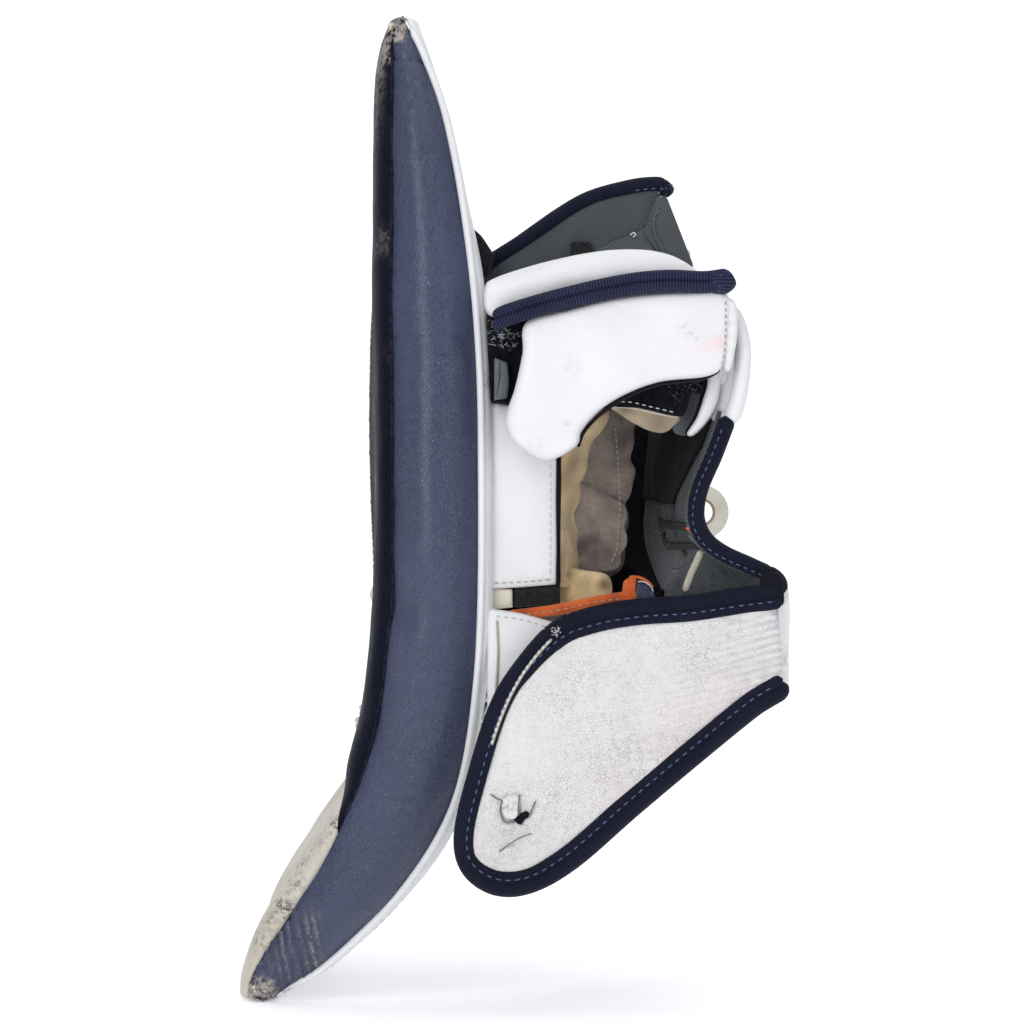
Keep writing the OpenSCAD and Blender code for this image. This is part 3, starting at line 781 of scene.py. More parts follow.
WEB_LOW, WEB_HIGH = -128.0, -57.0
NET_SAG = 50.0


def curl(y):
    return 0.0 if y < 120 else 14.0 * ((y - 120) / 160) ** 2


def thin(y):
    s = min(max((y - 40) / 230, 0), 1)
    return 1 - 0.35 * s * s * (3 - 2 * s)


def front_x(y, z):
    return smooth_at(FRONT_LINE, z) - curl(y)


def board_t(y, z):
    return max((smooth_at(BACK_LINE, z) - smooth_at(FRONT_LINE, z)) * thin(y), 9.0)


def back_x(y, z):
    return front_x(y, z) + board_t(y, z)


def heel_y(z):
    return HEEL_MIDDLE - math.sqrt(HEEL_RADIUS ** 2 - z * z)


def break_line(z):
    return 70.0 + 80.0 / 255.0 * (185.0 - z)


def cuff_end(z):
    return smooth_at(THUMB_LINE, z) if z < THUMB_TOP else break_line(z) - BREAK_GAP


def bezier(a, b, c, n):
    t = np.linspace(0, 1, n)[:, None]
    return ((1 - t) ** 2 * np.array(a, float) + 2 * t * (1 - t) * np.array(b, float)
        + t * t * np.array(c, float))


def end_round(x, mid, y, r=4.0):
    """From a face at x, round the far edge to the middle of the board's end."""
    way = 1 if mid > x else -1
    turn = np.linspace(0, math.pi / 2, 5)
    arc = np.stack([x + way * r * (1 - np.cos(turn)), y - r + r * np.sin(turn)], axis=1)
    return np.vstack([arc, [[mid, y]]])


def face_section(z):
    """The catching face at a height: from the heel seam, round the corner, to the far end."""
    h, end = heel_y(z), cuff_end(z)
    corner = bezier((smooth_at(SEAM_LINE, z), h + 1.2), (front_x(h, z) + 0.4, h + 0.4),
                    (front_x(h + 20, z), h + 20), 9)
    ys = np.linspace(h + 20, end - 4, 16)[1:-1]
    face = np.array([(front_x(y, z), y) for y in ys])
    mid = front_x(end, z) + board_t(end, z) / 2
    return np.vstack([corner, face, end_round(front_x(end - 4, z), mid, end)])


def back_section(z):
    """The back of the board at a height: from the piping, round the corner, to the far end."""
    h, end = heel_y(z), cuff_end(z)
    edge = back_x(h, z)
    corner = bezier((smooth_at(BAND_LINE, z) + 1.2, h + 1.8), (edge + 0.2, h + 1.5), (edge, h + 13), 8)
    ys = np.linspace(h + 13, end - 4, 14)[1:-1]
    face = np.array([(back_x(y, z), y) for y in ys])
    mid = front_x(end, z) + board_t(end, z) / 2
    return np.vstack([corner, face, end_round(back_x(end - 4, z), mid, end)])


def band_section(z):
    """The padded band along the heel at a height, from the seam to the piping."""
    h = heel_y(z)
    a, b = smooth_at(SEAM_LINE, z), smooth_at(BAND_LINE, z)
    s = np.linspace(0, 1, 61)
    s = 0.5 - 0.5 * np.cos(s * math.pi) * (0.75 + 0.25 * np.abs(np.cos(s * math.pi)))
    bulge = min(9.0, 0.24 * abs(b - a))
    y = h + 1.6 - bulge * (1 - np.abs(2 * s - 1) ** 2.1)
    return np.stack([a + (b - a) * s, y], axis=1)


def tip_rows(low, high, step, round_low, round_high, r=4.0):
    """Heights from low to high, with how far each is drawn in where the end is rounded."""
    rows = [(z, 0.0) for z in np.linspace(low, high, max(int((high - low) / step), 2))]
    if round_high:
        rows += [(high + r * math.sin(a) * 0.5, r * (1 - math.cos(a))) for a in np.linspace(0.3, 1.45, 5)]
    if round_low:
        rows = ([(low - r * math.sin(a) * 0.5, r * (1 - math.cos(a))) for a in np.linspace(1.45, 0.3, 5)]
            + rows)
    return rows


def drawn_in(section, inset, mid):
    """A section pulled in towards the board's middle plane and its far edge."""
    out = section.copy()
    away = out[:, 0] - mid
    out[:, 0] = mid + np.sign(away) * np.maximum(np.abs(away) - inset, 0.15)
    out[:, 1] = np.where(out[:, 1] < out[:, 1].mean(), out[:, 1] + inset, out[:, 1] - inset)
    return out


def at_tips(points):
    """The leather reaches a little past the core at the board's two tips."""
    out = np.array(points, float)
    low = np.clip((-120.0 - out[..., 2]) / 83.0, 0, 1.1) ** 2
    high = np.clip((out[..., 2] - 165.0) / 31.0, 0, 1.1) ** 2
    out[..., 2] += 4.0 * high - 4.5 * low
    out[..., 0] -= 2.4 * low
    return out


def section_at(section, z, inset):
    """A section at a height within the board, pulled in by inset where the end is rounded."""
    z = min(max(z, BOARD_LOW), BOARD_HIGH)
    points = section(z)
    if inset:
        points = drawn_in(points, inset, (smooth_at(FRONT_LINE, z) + smooth_at(BACK_LINE, z)) / 2)
    return points


def board_surface(name, section, rows, material, relief, split=None, wear=None, **more):
    """Sweeps a section along the heights in rows. split() gives a column its own lowest and highest."""
    width = len(section(0.0))
    grid = np.zeros((len(rows), width, 3))
    low, high = rows[0][0], rows[-1][0]
    for i, (z, inset) in enumerate(rows):
        if split is None:
            grid[i] = np.column_stack([section_at(section, z, inset), np.full(width, z)])
            continue
        for j, share in enumerate(np.linspace(0, 1, width)):
            lowest, highest = split(share, low, high)
            z_here = lowest + (highest - lowest) * (z - low) / (high - low)
            grid[i, j] = (*section_at(section, z_here, inset)[j], z_here)
    around = np.gradient(grid, axis=1)
    along = np.gradient(grid, axis=0)
    normal = np.cross(around, along)
    normal /= np.linalg.norm(normal, axis=2)[:, :, None] + 1e-9
    if np.sum(normal * (grid - BOARD_MIDDLE)) < 0:
        normal = -normal
    grid = at_tips(grid + normal * relief(grid[:, :, 0], grid[:, :, 1], grid[:, :, 2])[:, :, None])
    return surface(name, grid, material, "cuff", thick=1.0, wear=wear, **more)


def plain_relief(x, y, z):
    return 0.35 * ripple(x, y, z, 42.0, 3) + 0.14 * ripple(x, y, z, 13.0, 4)


def fold_share(x, z):
    """How strongly the folds by the thumb tip show."""
    return (np.clip((-166.0 - z) / 12.0, 0, 1) * np.clip((z + 204.0) / 5.0, 0, 1)
        * np.clip((-121.0 - x) / 6.0, 0, 1))


def fold_wave(x, z):
    along = x + z * 0.14
    return np.sin(along * 2 * math.pi / 3.7 + 1.1 * np.sin(z * 0.11 + 1.0) + 0.9 * np.sin(x * 0.4))


def band_relief(x, y, z):
    creases = 0.13 * ripple(x * 0.35, y, z, 7.0, 8) * np.clip((z - 10) / 60, 0.25, 1)
    folds = 0.55 * fold_wave(x, z) * fold_share(x, z)
    top = -0.8 * np.exp(-((z - 183.0 + 0.1 * (x + 90)) / 1.2) ** 2)
    hollow = -1.1 * np.exp(-((z + 176.0) / 6.0) ** 2 - ((x + 132.0) / 9.0) ** 2)
    return 0.4 * ripple(x, y, z, 38.0, 6) + creases + folds + top + hollow


def band_wear(points):
    x, z = points[:, 0], points[:, 2]
    ridges = np.clip(fold_wave(x, z) * 1.4 - 0.5, 0, 1) * fold_share(x, z)
    rubbed = (ridges * (0.2 + 0.8 * np.exp(-((x + 126.5) / 4.0) ** 2)
        + 0.6 * np.exp(-((x + 139.5) / 2.0) ** 2)))
    tip = (np.clip((z - 191.0) / 2.0, 0, 1) * np.clip((-88.0 - x) / 2.0, 0, 1)
        + np.clip((-198.5 - z) / 4.0, 0, 1) * np.clip((-142.0 - x) / 3.0, 0, 1))
    return np.clip(rubbed + tip, 0, 1)


def face_wear(points):
    x, y, z = points.T
    edge = np.exp(-((y - 10.0) / 9.0) ** 2) * 0.55 * np.clip((x + 96.0) / -3.0, 0, 1)
    tip = np.clip((z - 181.0) / 2.0, 0, 1) * 0.95
    strikes = 0.5 * np.clip(ripple(x, y, z, 45.0, 21) * 1.5 - 0.8, 0, 1)
    return np.clip(edge + tip + strikes, 0, 1)


def cream_wear(points):
    spots = blobs([(-117.5, -134.5, 3.0, 1.0), (-131.5, -152, 2.0, 0.8), (-128, -147, 2.2, 0.4),
        (-134, -160, 3.2, 0.7), (-139, -170, 4.5, 0.9), (-144.5, -176, 3.6, 0.6), (-149, -184, 4.0, 0.6),
        (-124, -142, 2.4, 0.3)])(points)
    return np.clip(spots + 0.03, 0, 1)


def strip_wear(points):
    z = points[:, 2]
    lap = 0.7 * np.exp(-((z - 47.0) / 5.0) ** 2) + 0.5 * np.exp(-((z - 186.0) / 6.0) ** 2)
    return np.clip(lap + 0.6 * np.clip((-192.0 - z) / 6.0, 0, 1), 0, 1)


def navy_split(share, _, high):
    """The navy face ends in a line that leans up and away from the heel seam."""
    lowest = -138.0 + 24.0 * min(share / 0.3, 1.0) + 4.0 * share
    return lowest, high


def cream_split(share, low, high):
    return low, navy_split(share, low, high)[0] + 0.25


NAVY_ROWS = tip_rows(-138.0, BOARD_HIGH, 3.2, False, True)
CREAM_ROWS = tip_rows(BOARD_LOW, -110.0, 2.8, True, False)
FULL_ROWS = tip_rows(BOARD_LOW, BOARD_HIGH, 2.2, True, True)
BAND_ROWS = tip_rows(BOARD_LOW, BOARD_HIGH, 0.8, True, True)
board_surface("cuff_face_leather", face_section, NAVY_ROWS, NAVY_FACE, plain_relief, navy_split, face_wear,
              replaces=("cuff_face_skin", "cuff_core"), slot="navy_leather")
board_surface("thumb_face_leather", face_section, CREAM_ROWS, CREAM, plain_relief, cream_split, cream_wear,
              replaces=("thumb_face_skin",), slot="cream_leather")
board_surface("heel_band_leather", band_section, BAND_ROWS, NAVY, band_relief, None, band_wear,
              replaces=("edge_band",), slot="navy_leather")
board_surface("cuff_back_leather", back_section, FULL_ROWS, WHITE, plain_relief, None, strip_wear,
              replaces=("cuff_back_skin", "cuff_stiffener"), slot="white_leather")


def along_heel(table, dx, dy, low=BOARD_LOW, high=BOARD_HIGH, step=3.0):
    zs = np.arange(low, high + 0.1, step)
    return at_tips([(smooth_at(table, z) + dx, heel_y(z) + dy, z) for z in zs])


cord_piece("heel_piping", along_heel(BAND_LINE, 1.1, 0.4, -201.0, 196.0), 1.5, WHITE, "cuff", sides=10,
           replaces=("edge_piping",), slot="white_leather")
seam_roll = cord_piece("heel_seam_roll", along_heel(SEAM_LINE, -0.4, 1.0, -132.0, 194.0), 0.8, NAVY_FACE,
    "cuff", sides=8, slot="navy_leather")
mark(seam_roll.data, "wear", np.full(len(seam_roll.data.vertices), SEAM_WEAR))
stitch_row("heel_seam_stitches", along_heel(SEAM_LINE, -1.5, 2.0, -120.0, 190.0), DARK_THREAD, "cuff",
           step=3.0, length=2.1, thick=0.3)
stitch_row("thumb_seam_stitches", along_heel(SEAM_LINE, -1.8, 2.2, -198.0, -140.0), OLD_THREAD, "cuff",
           step=3.4, length=2.3, thick=0.32)


def on_strip(share, low, high, lift=0.25, step=3.0):
    """A line over the white strip behind the piping, at a share of the way round its corner."""
    out = []
    for z in np.arange(low, high, step):
        corner = back_section(z)[:8]
        at = share * (len(corner) - 1)
        k = min(int(at), len(corner) - 2)
        x, y = corner[k] + (corner[k + 1] - corner[k]) * (at - k)
        out.append((x + lift * 0.7, y - lift * 0.7, z))
    return at_tips(out)


stitch_row("back_strip_stitches", on_strip(0.62, -196.0, 190.0), OLD_THREAD, "cuff", step=4.2,
    length=3.0, thick=0.28)


def board_tip_flakes():
    """Torn scraps of leather at the two worn tips of the board."""
    rng = np.random.default_rng(12)
    points, faces = [], []
    scraps = [(-94.6, 9.0, 195.2, 2.0, 9), (-91.4, 7.4, 192.6, 1.5, 5), (-93.4, 4.4, 181.0, 1.2, 3),
              (-93.6, 3.6, 174.0, 1.3, 3), (-93.2, 3.2, 177.5, 1.0, 2), (-93.4, 2.6, 168.0, 0.9, 2),
              (-149.5, 10.2, -200.6, 1.9, 8), (-146.0, 9.2, -200.4, 1.6, 5), (-151.5, 12.0, -198.6, 1.4, 5)]
    for x, y, z, size, count in scraps:
        for _ in range(count):
            centre = at_tips([x, y, z]) + rng.normal(0, size * 0.3, 3) * (1, 0.6, 1)
            base = len(points)
            turn = rng.uniform(0, 6.28)
            for k in range(6):
                a = turn + k * math.pi / 3
                reach = size * rng.uniform(0.35, 0.8)
                points.append(centre + np.array([math.cos(a) * reach, rng.normal(0, 0.35),
                    math.sin(a) * reach]))
            points.append(centre + np.array([0, -0.5, 0]))
            points.append(centre + np.array([0, 0.5, 0]))
            for k in range(6):
                faces.append((base + k, base + (k + 1) % 6, base + 6))
                faces.append((base + (k + 1) % 6, base + k, base + 7))
    mesh_piece("board_tip_flakes", points, faces, OFF_WHITE, "cuff", slot="cream_leather")


board_tip_flakes()


# ---------------------------------------------------------------- helpers for the hand compartment
def behind(x, z, y):
    """A point at depth y that looks to be at [x, z] on the plane of the heel."""
    k = (CAMERA_AWAY + y - VIEW_Y) / CAMERA_AWAY
    return np.array([VIEW_X + (x - VIEW_X) * k, y, VIEW_Z + (z - VIEW_Z) * k])


def seen_path(points, y, n=6):
    return smooth_line([behind(x, z, y) for x, z in points], n)


def seen_outline(points, y, n=5, smooth=True):
    flat = [behind(x, z, y)[[0, 2]] for x, z in points]
    return smooth_line(flat, n, closed=True) if smooth else np.array(flat)


def moved_in(outline, inset):
    """A closed outline drawn inwards by an even distance."""
    area = np.sum(outline[:, 0] * np.roll(outline[:, 1], -1) - np.roll(outline[:, 0], -1) * outline[:, 1])
    way = np.roll(outline, -1, axis=0) - np.roll(outline, 1, axis=0)
    way /= np.linalg.norm(way, axis=1)[:, None] + 1e-9
    inward = np.stack([-way[:, 1], way[:, 0]], axis=1) * (1 if area > 0 else -1)
    return outline + inward * inset


def bolster(name, outline, lo, hi, material, body, round_r=3.0, step=3.0, **more):
    """A padded block: a closed outline [x, z] carried from y = lo to y = hi, with its ends rounded."""
    ring = evenly(np.asarray(outline, float), step, closed=True)
    span = hi - lo - 2 * round_r
    count = max(int(span / (step * 1.5)), 2)
    stations = [(lo + round_r * (1 - math.cos(a)), round_r * (1 - math.sin(a)))
        for a in np.linspace(0, math.pi / 2, 5)]
    stations += [(lo + round_r + span * s, 0.0) for s in np.linspace(0, 1, count + 1)[1:-1]]
    stations += [(hi - round_r * (1 - math.cos(a)), round_r * (1 - math.sin(a)))
                 for a in np.linspace(math.pi / 2, 0, 5)]
    rings = [[(a, depth, b) for a, b in moved_in(ring, inset)] for depth, inset in stations]
    return mesh_piece(name, np.array(rings).reshape(-1, 3), tube_faces(len(rings), len(ring)),
        material, body, **more)


def lathe(name, origin, axis, profile, material, body, power=2.0, count=28, lumps=0.0, **more):
    """A hollow form turned from a closed loop of [distance, radius], squared off where power is over 2."""
    axis = np.array(axis, float) / np.linalg.norm(axis)
    u = np.array((1.0, 0.0, 0.0)) - axis * axis[0]
    u /= np.linalg.norm(u)
    v = np.cross(axis, u)
    turn = np.linspace(0, 2 * math.pi, count, endpoint=False)
    c, s = np.cos(turn), np.sin(turn)
    blunt = (np.abs(c) ** power + np.abs(s) ** power) ** (-1.0 / power)
    away = c[:, None] * u + s[:, None] * v
    grid = np.array([[np.array(origin, float) + axis * t + r * blunt[k] * away[k] for k in range(count)]
                     for t, r in profile])
    if lumps:
        grid += lumps * grid_ripple(grid, 19.0, 17)[:, :, None] * away
    faces = grid_faces(len(profile), count, wrap=True) + closing_faces(len(profile), count)
    return mesh_piece(name, grid.reshape(-1, 3), faces, material, body, **more)


def stall_profile(length, radius, wall):
    """Outside of a closed stall from its mouth to its end, then back down its inside."""
    dome = [(length - radius * 0.7 * (1 - math.sin(a)), radius * math.cos(a))
        for a in np.linspace(0, 1.569, 9)]
    outer = [(0, radius - wall * 0.5), (-0.4, radius - wall * 0.2), (0.8, radius)]
    outer += [(t, radius) for t in np.linspace(4, dome[0][0] - 3, 14)] + dome
    inside = radius - wall
    cap = [(length - wall - inside * 0.7 * (1 - math.sin(a)), inside * math.cos(a))
        for a in np.linspace(1.569, 0, 9)]
    return (outer + cap + [(t, inside) for t in np.linspace(cap[-1][0] - 3, 1.5, 12)]
        + [(0, radius - wall * 0.8)])


def fray(name, spots, material, body, seed, thick=0.16, **more):
    """Loose broken threads: each spot is [x, y, z, spread, length, count]."""
    rng = np.random.default_rng(seed)
    points, faces = [], []
    for x, y, z, spread, length, count in spots:
        for _ in range(count):
            start = np.array([x, y, z]) + rng.normal(0, spread, 3) * (1, 0.4, 1)
            way = rng.normal(size=3) + (0, -0.7, 0)
            way /= np.linalg.norm(way)
            bend = rng.normal(size=3) * 0.5
            steps = np.linspace(0, 1, 6)
            path = (start + np.outer(steps, way) * length * rng.uniform(0.5, 1.2)
                + np.outer(steps ** 2, bend) * length * 0.6)
            side, lift = frames_along(path, (0.3, 0.9, 0.2))
            base = len(points)
            for i in range(6):
                fat = thick * (1 - 0.6 * steps[i])
                for k in range(4):
                    a = k * math.pi / 2
                    points.append(path[i] + fat * (math.cos(a) * side[i] + math.sin(a) * lift[i]))
            faces += tube_faces(6, 4, base)
    return mesh_piece(name, points, faces, material, body, **more)


def lump(name, centre, radii, material, body, seed, rough=0.12, **more):
    """A worn knob of fabric."""
    rows, cols = 16, 24
    points = []
    for i in range(rows):
        up = math.pi * (i + 0.5) / rows
        for j in range(cols):
            a = 2 * math.pi * j / cols
            points.append((math.sin(up) * math.cos(a), math.sin(up) * math.sin(a), math.cos(up)))
    points = np.array(points)
    swell = 1 + rough * grid_ripple(points, 1.1, seed)
    points = np.array(centre) + points * np.array(radii) * swell[:, None]
    uv = np.array([(j * 0.9, i * 0.9) for i in range(rows) for j in range(cols)])
    return mesh_piece(name, points, tube_faces(rows, cols), material, body, uv=uv, **more)


def pad_outline(points, n=4):
    return smooth_line(points, n, closed=True)


# ---------------------------------------------------------------- little-finger side guards
TOP_PAD = pad_outline([[-55, 76], [-55.4, 88.6], [-50, 90.4], [-38, 94], [-18, 99.6], [2, 102], [20, 100],
    [33, 92], [34, 85], [10, 82], [-20, 79], [-44, 75]])
top_pad = bolster("guard_top_leather", TOP_PAD, -41.0, 14.0, WHITE, "cuff", round_r=4.0,
                  replaces=("guard_top_pad",), slot="white_leather")
puff(top_pad, 2.6, 1.6)

RIB = [(-52, 72), (-46, 75.2), (-25, 81.4), (0, 87), (18, 89), (34, 88.5), (44, 90)]
rib_line = smooth_line([(x, -46.5, z) for x, z in RIB], 8)
cord_piece("guard_binding_upper", rib_line + (0, 0.3, 2.0), (2.5, 3.4), RIBBED, "cuff", sides=14,
           replaces=("guard_top_binding",), slot="binding")
cord_piece("guard_binding_lower", rib_line + (0, -0.2, -2.1), (2.5, 3.6), RIBBED, "cuff", sides=14,
    slot="binding")
lump("guard_binding_knob", (40.5, -46.0, 88.6), (6.0, 4.8, 5.2), RIBBED, "cuff", 5, slot="binding")
fray("guard_knob_fray", [(43.0, -48.0, 90, 1.8, 1.6, 26), (40, -49.6, 87, 2.2, 1.3, 24),
    (-50, -46, 69, 1.8, 2.0, 14)], BLUE_THREAD, "cuff", 7, 0.12)

LOBE = smooth_line([[-38.5, 72.4], [-20, 77.8], [0, 82.6], [24, 84.4], [43, 84.2], [44, 66], [41, 54],
    [34, 50], [16, 48], [2, 43], [-9, 36], [-16, 28], [-18, 22], [-30, 16], [-42, 22], [-47, 32], [-43, 46],
    [-40, 60]], 6, closed=True)


def lobe_place(a, b, h):
    dip = 0.5 * math.exp(-((a - 38.5) / 1.2) ** 2) + 0.35 * math.sin(a * 0.16 + b * 0.09)
    return a, -42.3 - h + (dip if h > 0 else 0), b


lobe = pillow("lobe_leather", LOBE, lobe_place, 8.6, WHITE, "lobe", crown=1.6, reach=13.0, edge=3.2,
    step=2.2, wear=blobs([(-20, 54, 4.2, 0.14), (30, 67, 3.0, 0.34), (26, 69.5, 2.2, 0.34),
    (-12, 25, 3.0, 0.14), (-22, 30, 2.0, 0.3), (-34, 22, 5.0, 0.1)]), replaces=("guard_lobe",),
    slot="white_leather")
tint(lobe, "blush", [(35, 62.5, 3.2, 0.5), (40, 64, 3.5, 0.55), (30, 60.5, 2.0, 0.35)])
pillow("lobe_backing_felt", moved_in(LOBE, 0.4), facing(-36.9), 2.0, FELT, "lobe", edge=1.0, step=3.4,
       replaces=("lobe_backing",), slot="felt")
pillow("lobe_side_strip", pad_outline([(42.2, 82), (46.8, 80), (47.6, 70), (46.4, 60), (44.6, 53),
    (42.0, 53), (41.6, 62), (42.0, 72)]), lambda a, b, h: (a, -41.6 - h + 0.4 * math.sin(b * 1.15), b), 6.4,
    WHITE, "lobe", edge=2.2, step=1.8, slot="white_leather")
stitch_row("lobe_side_stitches", smooth_line([(42.4, -46.2, 82), (42.6, -46.6, 72), (42.2, -46.4, 62),
    (41.4, -45.8, 54)], 8), OLD_THREAD, "lobe", step=2.7, length=1.7, thick=0.4)
cord_piece("lobe_dark_edge", smooth_line([(40.5, -40.5, 53.0), (33, -41.0, 49.4), (16, -41.2, 47.3),
    (3, -41.2, 42.3), (-8, -41.0, 35.2), (-15, -40.6, 27.8), (-17.4, -40.4, 21.4)], 8), (0.8, 2.0), FELT,
    "lobe", sides=8)

cord_piece("white_roll_leather", smooth_line([(44.8, -31, 79), (47.8, -31, 72.6), (50.0, -31, 64),
    (50.1, -31, 55), (48.6, -31, 43), (45.2, -30, 31.5)], 8), (3.5, 4.4), WHITE, "cuff", sides=16,
    replaces=("white_roll",), slot="white_leather")
side_plate = smooth_line([(-26.8, 52), (-22, 47.2), (8, 47), (13.6, 51.6), (13.8, 75), (9, 79.8), (-22, 80),
    (-26.8, 76)], 4, closed=True)
guard_side = pillow("guard_side_leather", side_plate, lambda y, z, h: (41.0 + h, y, z), 6.0, WHITE, "cuff",
    crown=1.0, edge=2.6, step=3.0, replaces=("guard_side",), slot="white_leather")

inner_edge = [(36.5, 55), (35.6, 47), (33.6, 40), (31.2, 33.4), (27.4, 27.4), (29.6, 26.2), (33.6, 29.4),
    (37.8, 35), (40.4, 42), (41.4, 50), (41.6, 56)]
pillow("inner_guard_leather", seen_outline(inner_edge, -26), facing(-26.0), 4.6, WHITE, "cuff", crown=0.6,
    reach=4.0, edge=1.8, step=1.5, replaces=("inner_guard",), slot="white_leather")
pillow("inner_side_leather", seen_outline([(38, 58), (47.5, 60), (47, 45), (44.4, 33.4), (37.4, 33.0),
    (39.6, 42), (40.2, 50)], -21), facing(-21.0), 3.4, WHITE, "cuff", crown=0.8, reach=4.0, edge=1.4,
    step=1.8, slot="white_leather")
cord_piece("inner_guard_edge", seen_path([(35.2, 51), (33.0, 41), (30.4, 33.4), (26.8, 27.2)], -24.2), 0.7,
    FELT, "cuff", sides=8)
pillow("grey_band_weave", seen_outline([(29.0, 51), (38.0, 52), (36.4, 44), (32.6, 34.6), (28.2, 26.8),
    (22.4, 27.4), (22.0, 31), (26.0, 40)], -19), facing(-18.8), 2.2, HERRING, "cuff", edge=1.0, step=1.8,
    replaces=("grey_band",), slot="nylon")
liner = smooth_line([(-21.6, -19), (-19, -24), (35.6, -24), (38, -20), (38, 80), (29, 90), (-13, 90),
    (-22, 81)], 4, closed=True)
felt_wall = pillow("felt_wall_liner", liner, lambda a, b,
    h: (a, b, 49.0 - 0.13 * max(a - 8, 0) - 0.05 * (b + 24) * 0.3 - h
    + 0.8 * math.sin(a * 0.11 + b * 0.05)), 5.0, FELT, "cuff", edge=2.4, step=4.0,
    replaces=("felt_wall",), slot="felt")
pillow("felt_front_edge", seen_outline([(-11, 43.5), (2, 49), (20, 50), (29, 49), (27, 36.0), (22, 34.4),
    (8, 37.6), (-4, 38.6)], -25), facing(-25.0), 2.6, FELT, "cuff", edge=1.2, step=2.0)
stitch_row("felt_stitches", seen_path([(-4, 40.0), (4, 40.2), (12, 38.4), (22, 36.0)], -26.6), WHITE_THREAD,
    "cuff", step=2.9, length=1.8, thick=0.28)
fray("felt_fray", [(*behind(24, 48.5, -28), 3.2, 1.8, 40), (*behind(30, 48, -28), 1.8, 1.8, 20)],
    DARK_THREAD, "cuff", 9, 0.1)
pillow("suede_tab_leather", seen_outline([(-5, 38.8), (4, 38.6), (12, 37.0), (24.4, 34.4), (22.4, 30.6),
    (18, 27.6), (12, 28.4), (5, 31.8), (-1, 35.8)], -20), facing(-20.0), 3.6, PALE_SUEDE, "cuff", crown=0.8,
    reach=4.0, edge=1.5, step=1.6, wear=blobs([(16, 31, 6.0, 0.6), (2, 37, 3.0, 0.5)]),
    replaces=("suede_tab",), slot="suede")
cord_piece("suede_tab_edge", seen_path([(-5, 38.6), (4, 38.2), (13, 36.2), (24.4, 34.0)], -22.4),
    (0.8, 0.9), CREAM_LACE, "cuff", sides=8)

# the dark gap beside the board, with its clip and broken threads
bolster("gap_liner", [(-54.4, 40), (-38.5, 40), (-38.5, 76), (-54.4, 77)], -23.0, 38.0, FELT, "cuff",
    round_r=2.0, replaces=("gap_felt",), slot="felt")
bolster("gap_clip", [(-51.6, 41.0), (-46.2, 41.8), (-45.4, 48), (-46.0, 56.5), (-51.6, 58.5)], -29.0, -23.5,
        GREY_PLASTIC, "cuff", round_r=1.0, step=1.6, replaces=("grey_clip",), slot="clip")
cord_piece("gap_clip_rib", [(-50.8, -29.2, 42.5), (-50.0, -29.4, 50), (-49.2, -29.2, 57)], 0.8,
    GREY_PLASTIC, "cuff", sides=8)
fray("gap_fray", [(-50, -30, 67.0, 2.0, 2.6, 20), (-44, -27, 66, 2.4, 2.0, 12)], WHITE_THREAD,
     "cuff", 13, 0.12)
fray("gap_dark_fray", [(-47, -28, 68, 3.4, 2.6, 40)], DARK_THREAD, "cuff", 14, 0.16)

# ---------------------------------------------------------------- upper flap
FLAP_EDGE = [[-54, 92], [-54, 97], [-40, 106], [-23, 117], [-11, 124], [6, 130], [19, 130], [17, 123],
    [28, 104], [30, 92]]


def flap_crease(a, b):
    return (1.3 * math.exp(-((a + 14 - 0.25 * (b - 112)) / 3.0) ** 2)
        - 0.9 * math.exp(-((a + 6 + 0.3 * (b - 112)) / 2.5) ** 2) + 0.6 * math.sin(a * 0.18))


FLAP_CLOTH = seen_outline([(-57, 86), (-56, 95.5), (-41, 105), (-24.6, 117), (-12, 124), (4, 128),
    (17, 129.5), (14.5, 122), (28, 99), (31, 92)], 21, smooth=False)
flap_lining = pillow("upper_flap_twill", FLAP_CLOTH, lambda a, b, h: (a, 21.0 - h + flap_crease(a, b), b),
    1.6, NYLON, "upper_flap", edge=0.8, step=2.6, replaces=("upper_flap_lining",), slot="nylon")
flap_shell = pillow("upper_flap_leather", np.array(FLAP_EDGE, float), lambda a, b, h: (a, 24.4 - h, b), 3.6,
    NAVY, "upper_flap", edge=1.6, step=3.4, replaces=("upper_flap_shell",), slot="navy_leather")
flap_rim = seen_path([(-56.6, 91), (-54.4, 96.6), (-41, 105.5), (-24.6, 117), (-12, 124), (4, 128.4),
    (14, 129.6), (19.5, 128.8)], 21.0)
cord_piece("upper_flap_tape", flap_rim, (3.1, 3.8), BINDING, "upper_flap", sides=14,
    replaces=("upper_flap_binding",), slot="binding")
stitch_row("upper_flap_stitches", flap_rim[30:] + (0.5, -3.3, -2.2), BLUE_THREAD, "upper_flap", step=3.4,
    length=2.0, thick=0.25)
lump("upper_flap_knob", behind(18.8, 127.4, 21), (3.2, 3.6, 3.6), BINDING, "upper_flap", 8, slot="binding")
fray("upper_flap_fray", [(*behind(19.6, 127.5, 18), 1.6, 1.3, 36)], BLUE_THREAD, "upper_flap", 15, 0.1)
INNER_CLOTH = seen_outline([(-36, 92), (-30, 96), (-10.5, 102), (-2.5, 106.5), (5.5, 109.0), (12, 113),
    (16, 108), (28, 94), (28, 89), (-34, 89)], 18.8, smooth=False)
flap_inner = pillow("upper_flap_inner_twill", INNER_CLOTH, facing(18.8), 1.2, HERRING, "upper_flap",
    edge=0.6, step=2.4, slot="nylon")
GUSSET_CLOTH = seen_outline([(15.0, 124.6), (19.2, 124.2), (30.2, 96), (28, 92), (17.5, 98.5),
    (9.5, 109.3)], 17.4, smooth=False)
gusset = pillow("flap_gusset_twill", GUSSET_CLOTH, facing(17.4), 1.4,
                NYLON, "upper_flap", edge=0.7, step=2.2, replaces=("flap_gusset",), slot="nylon")
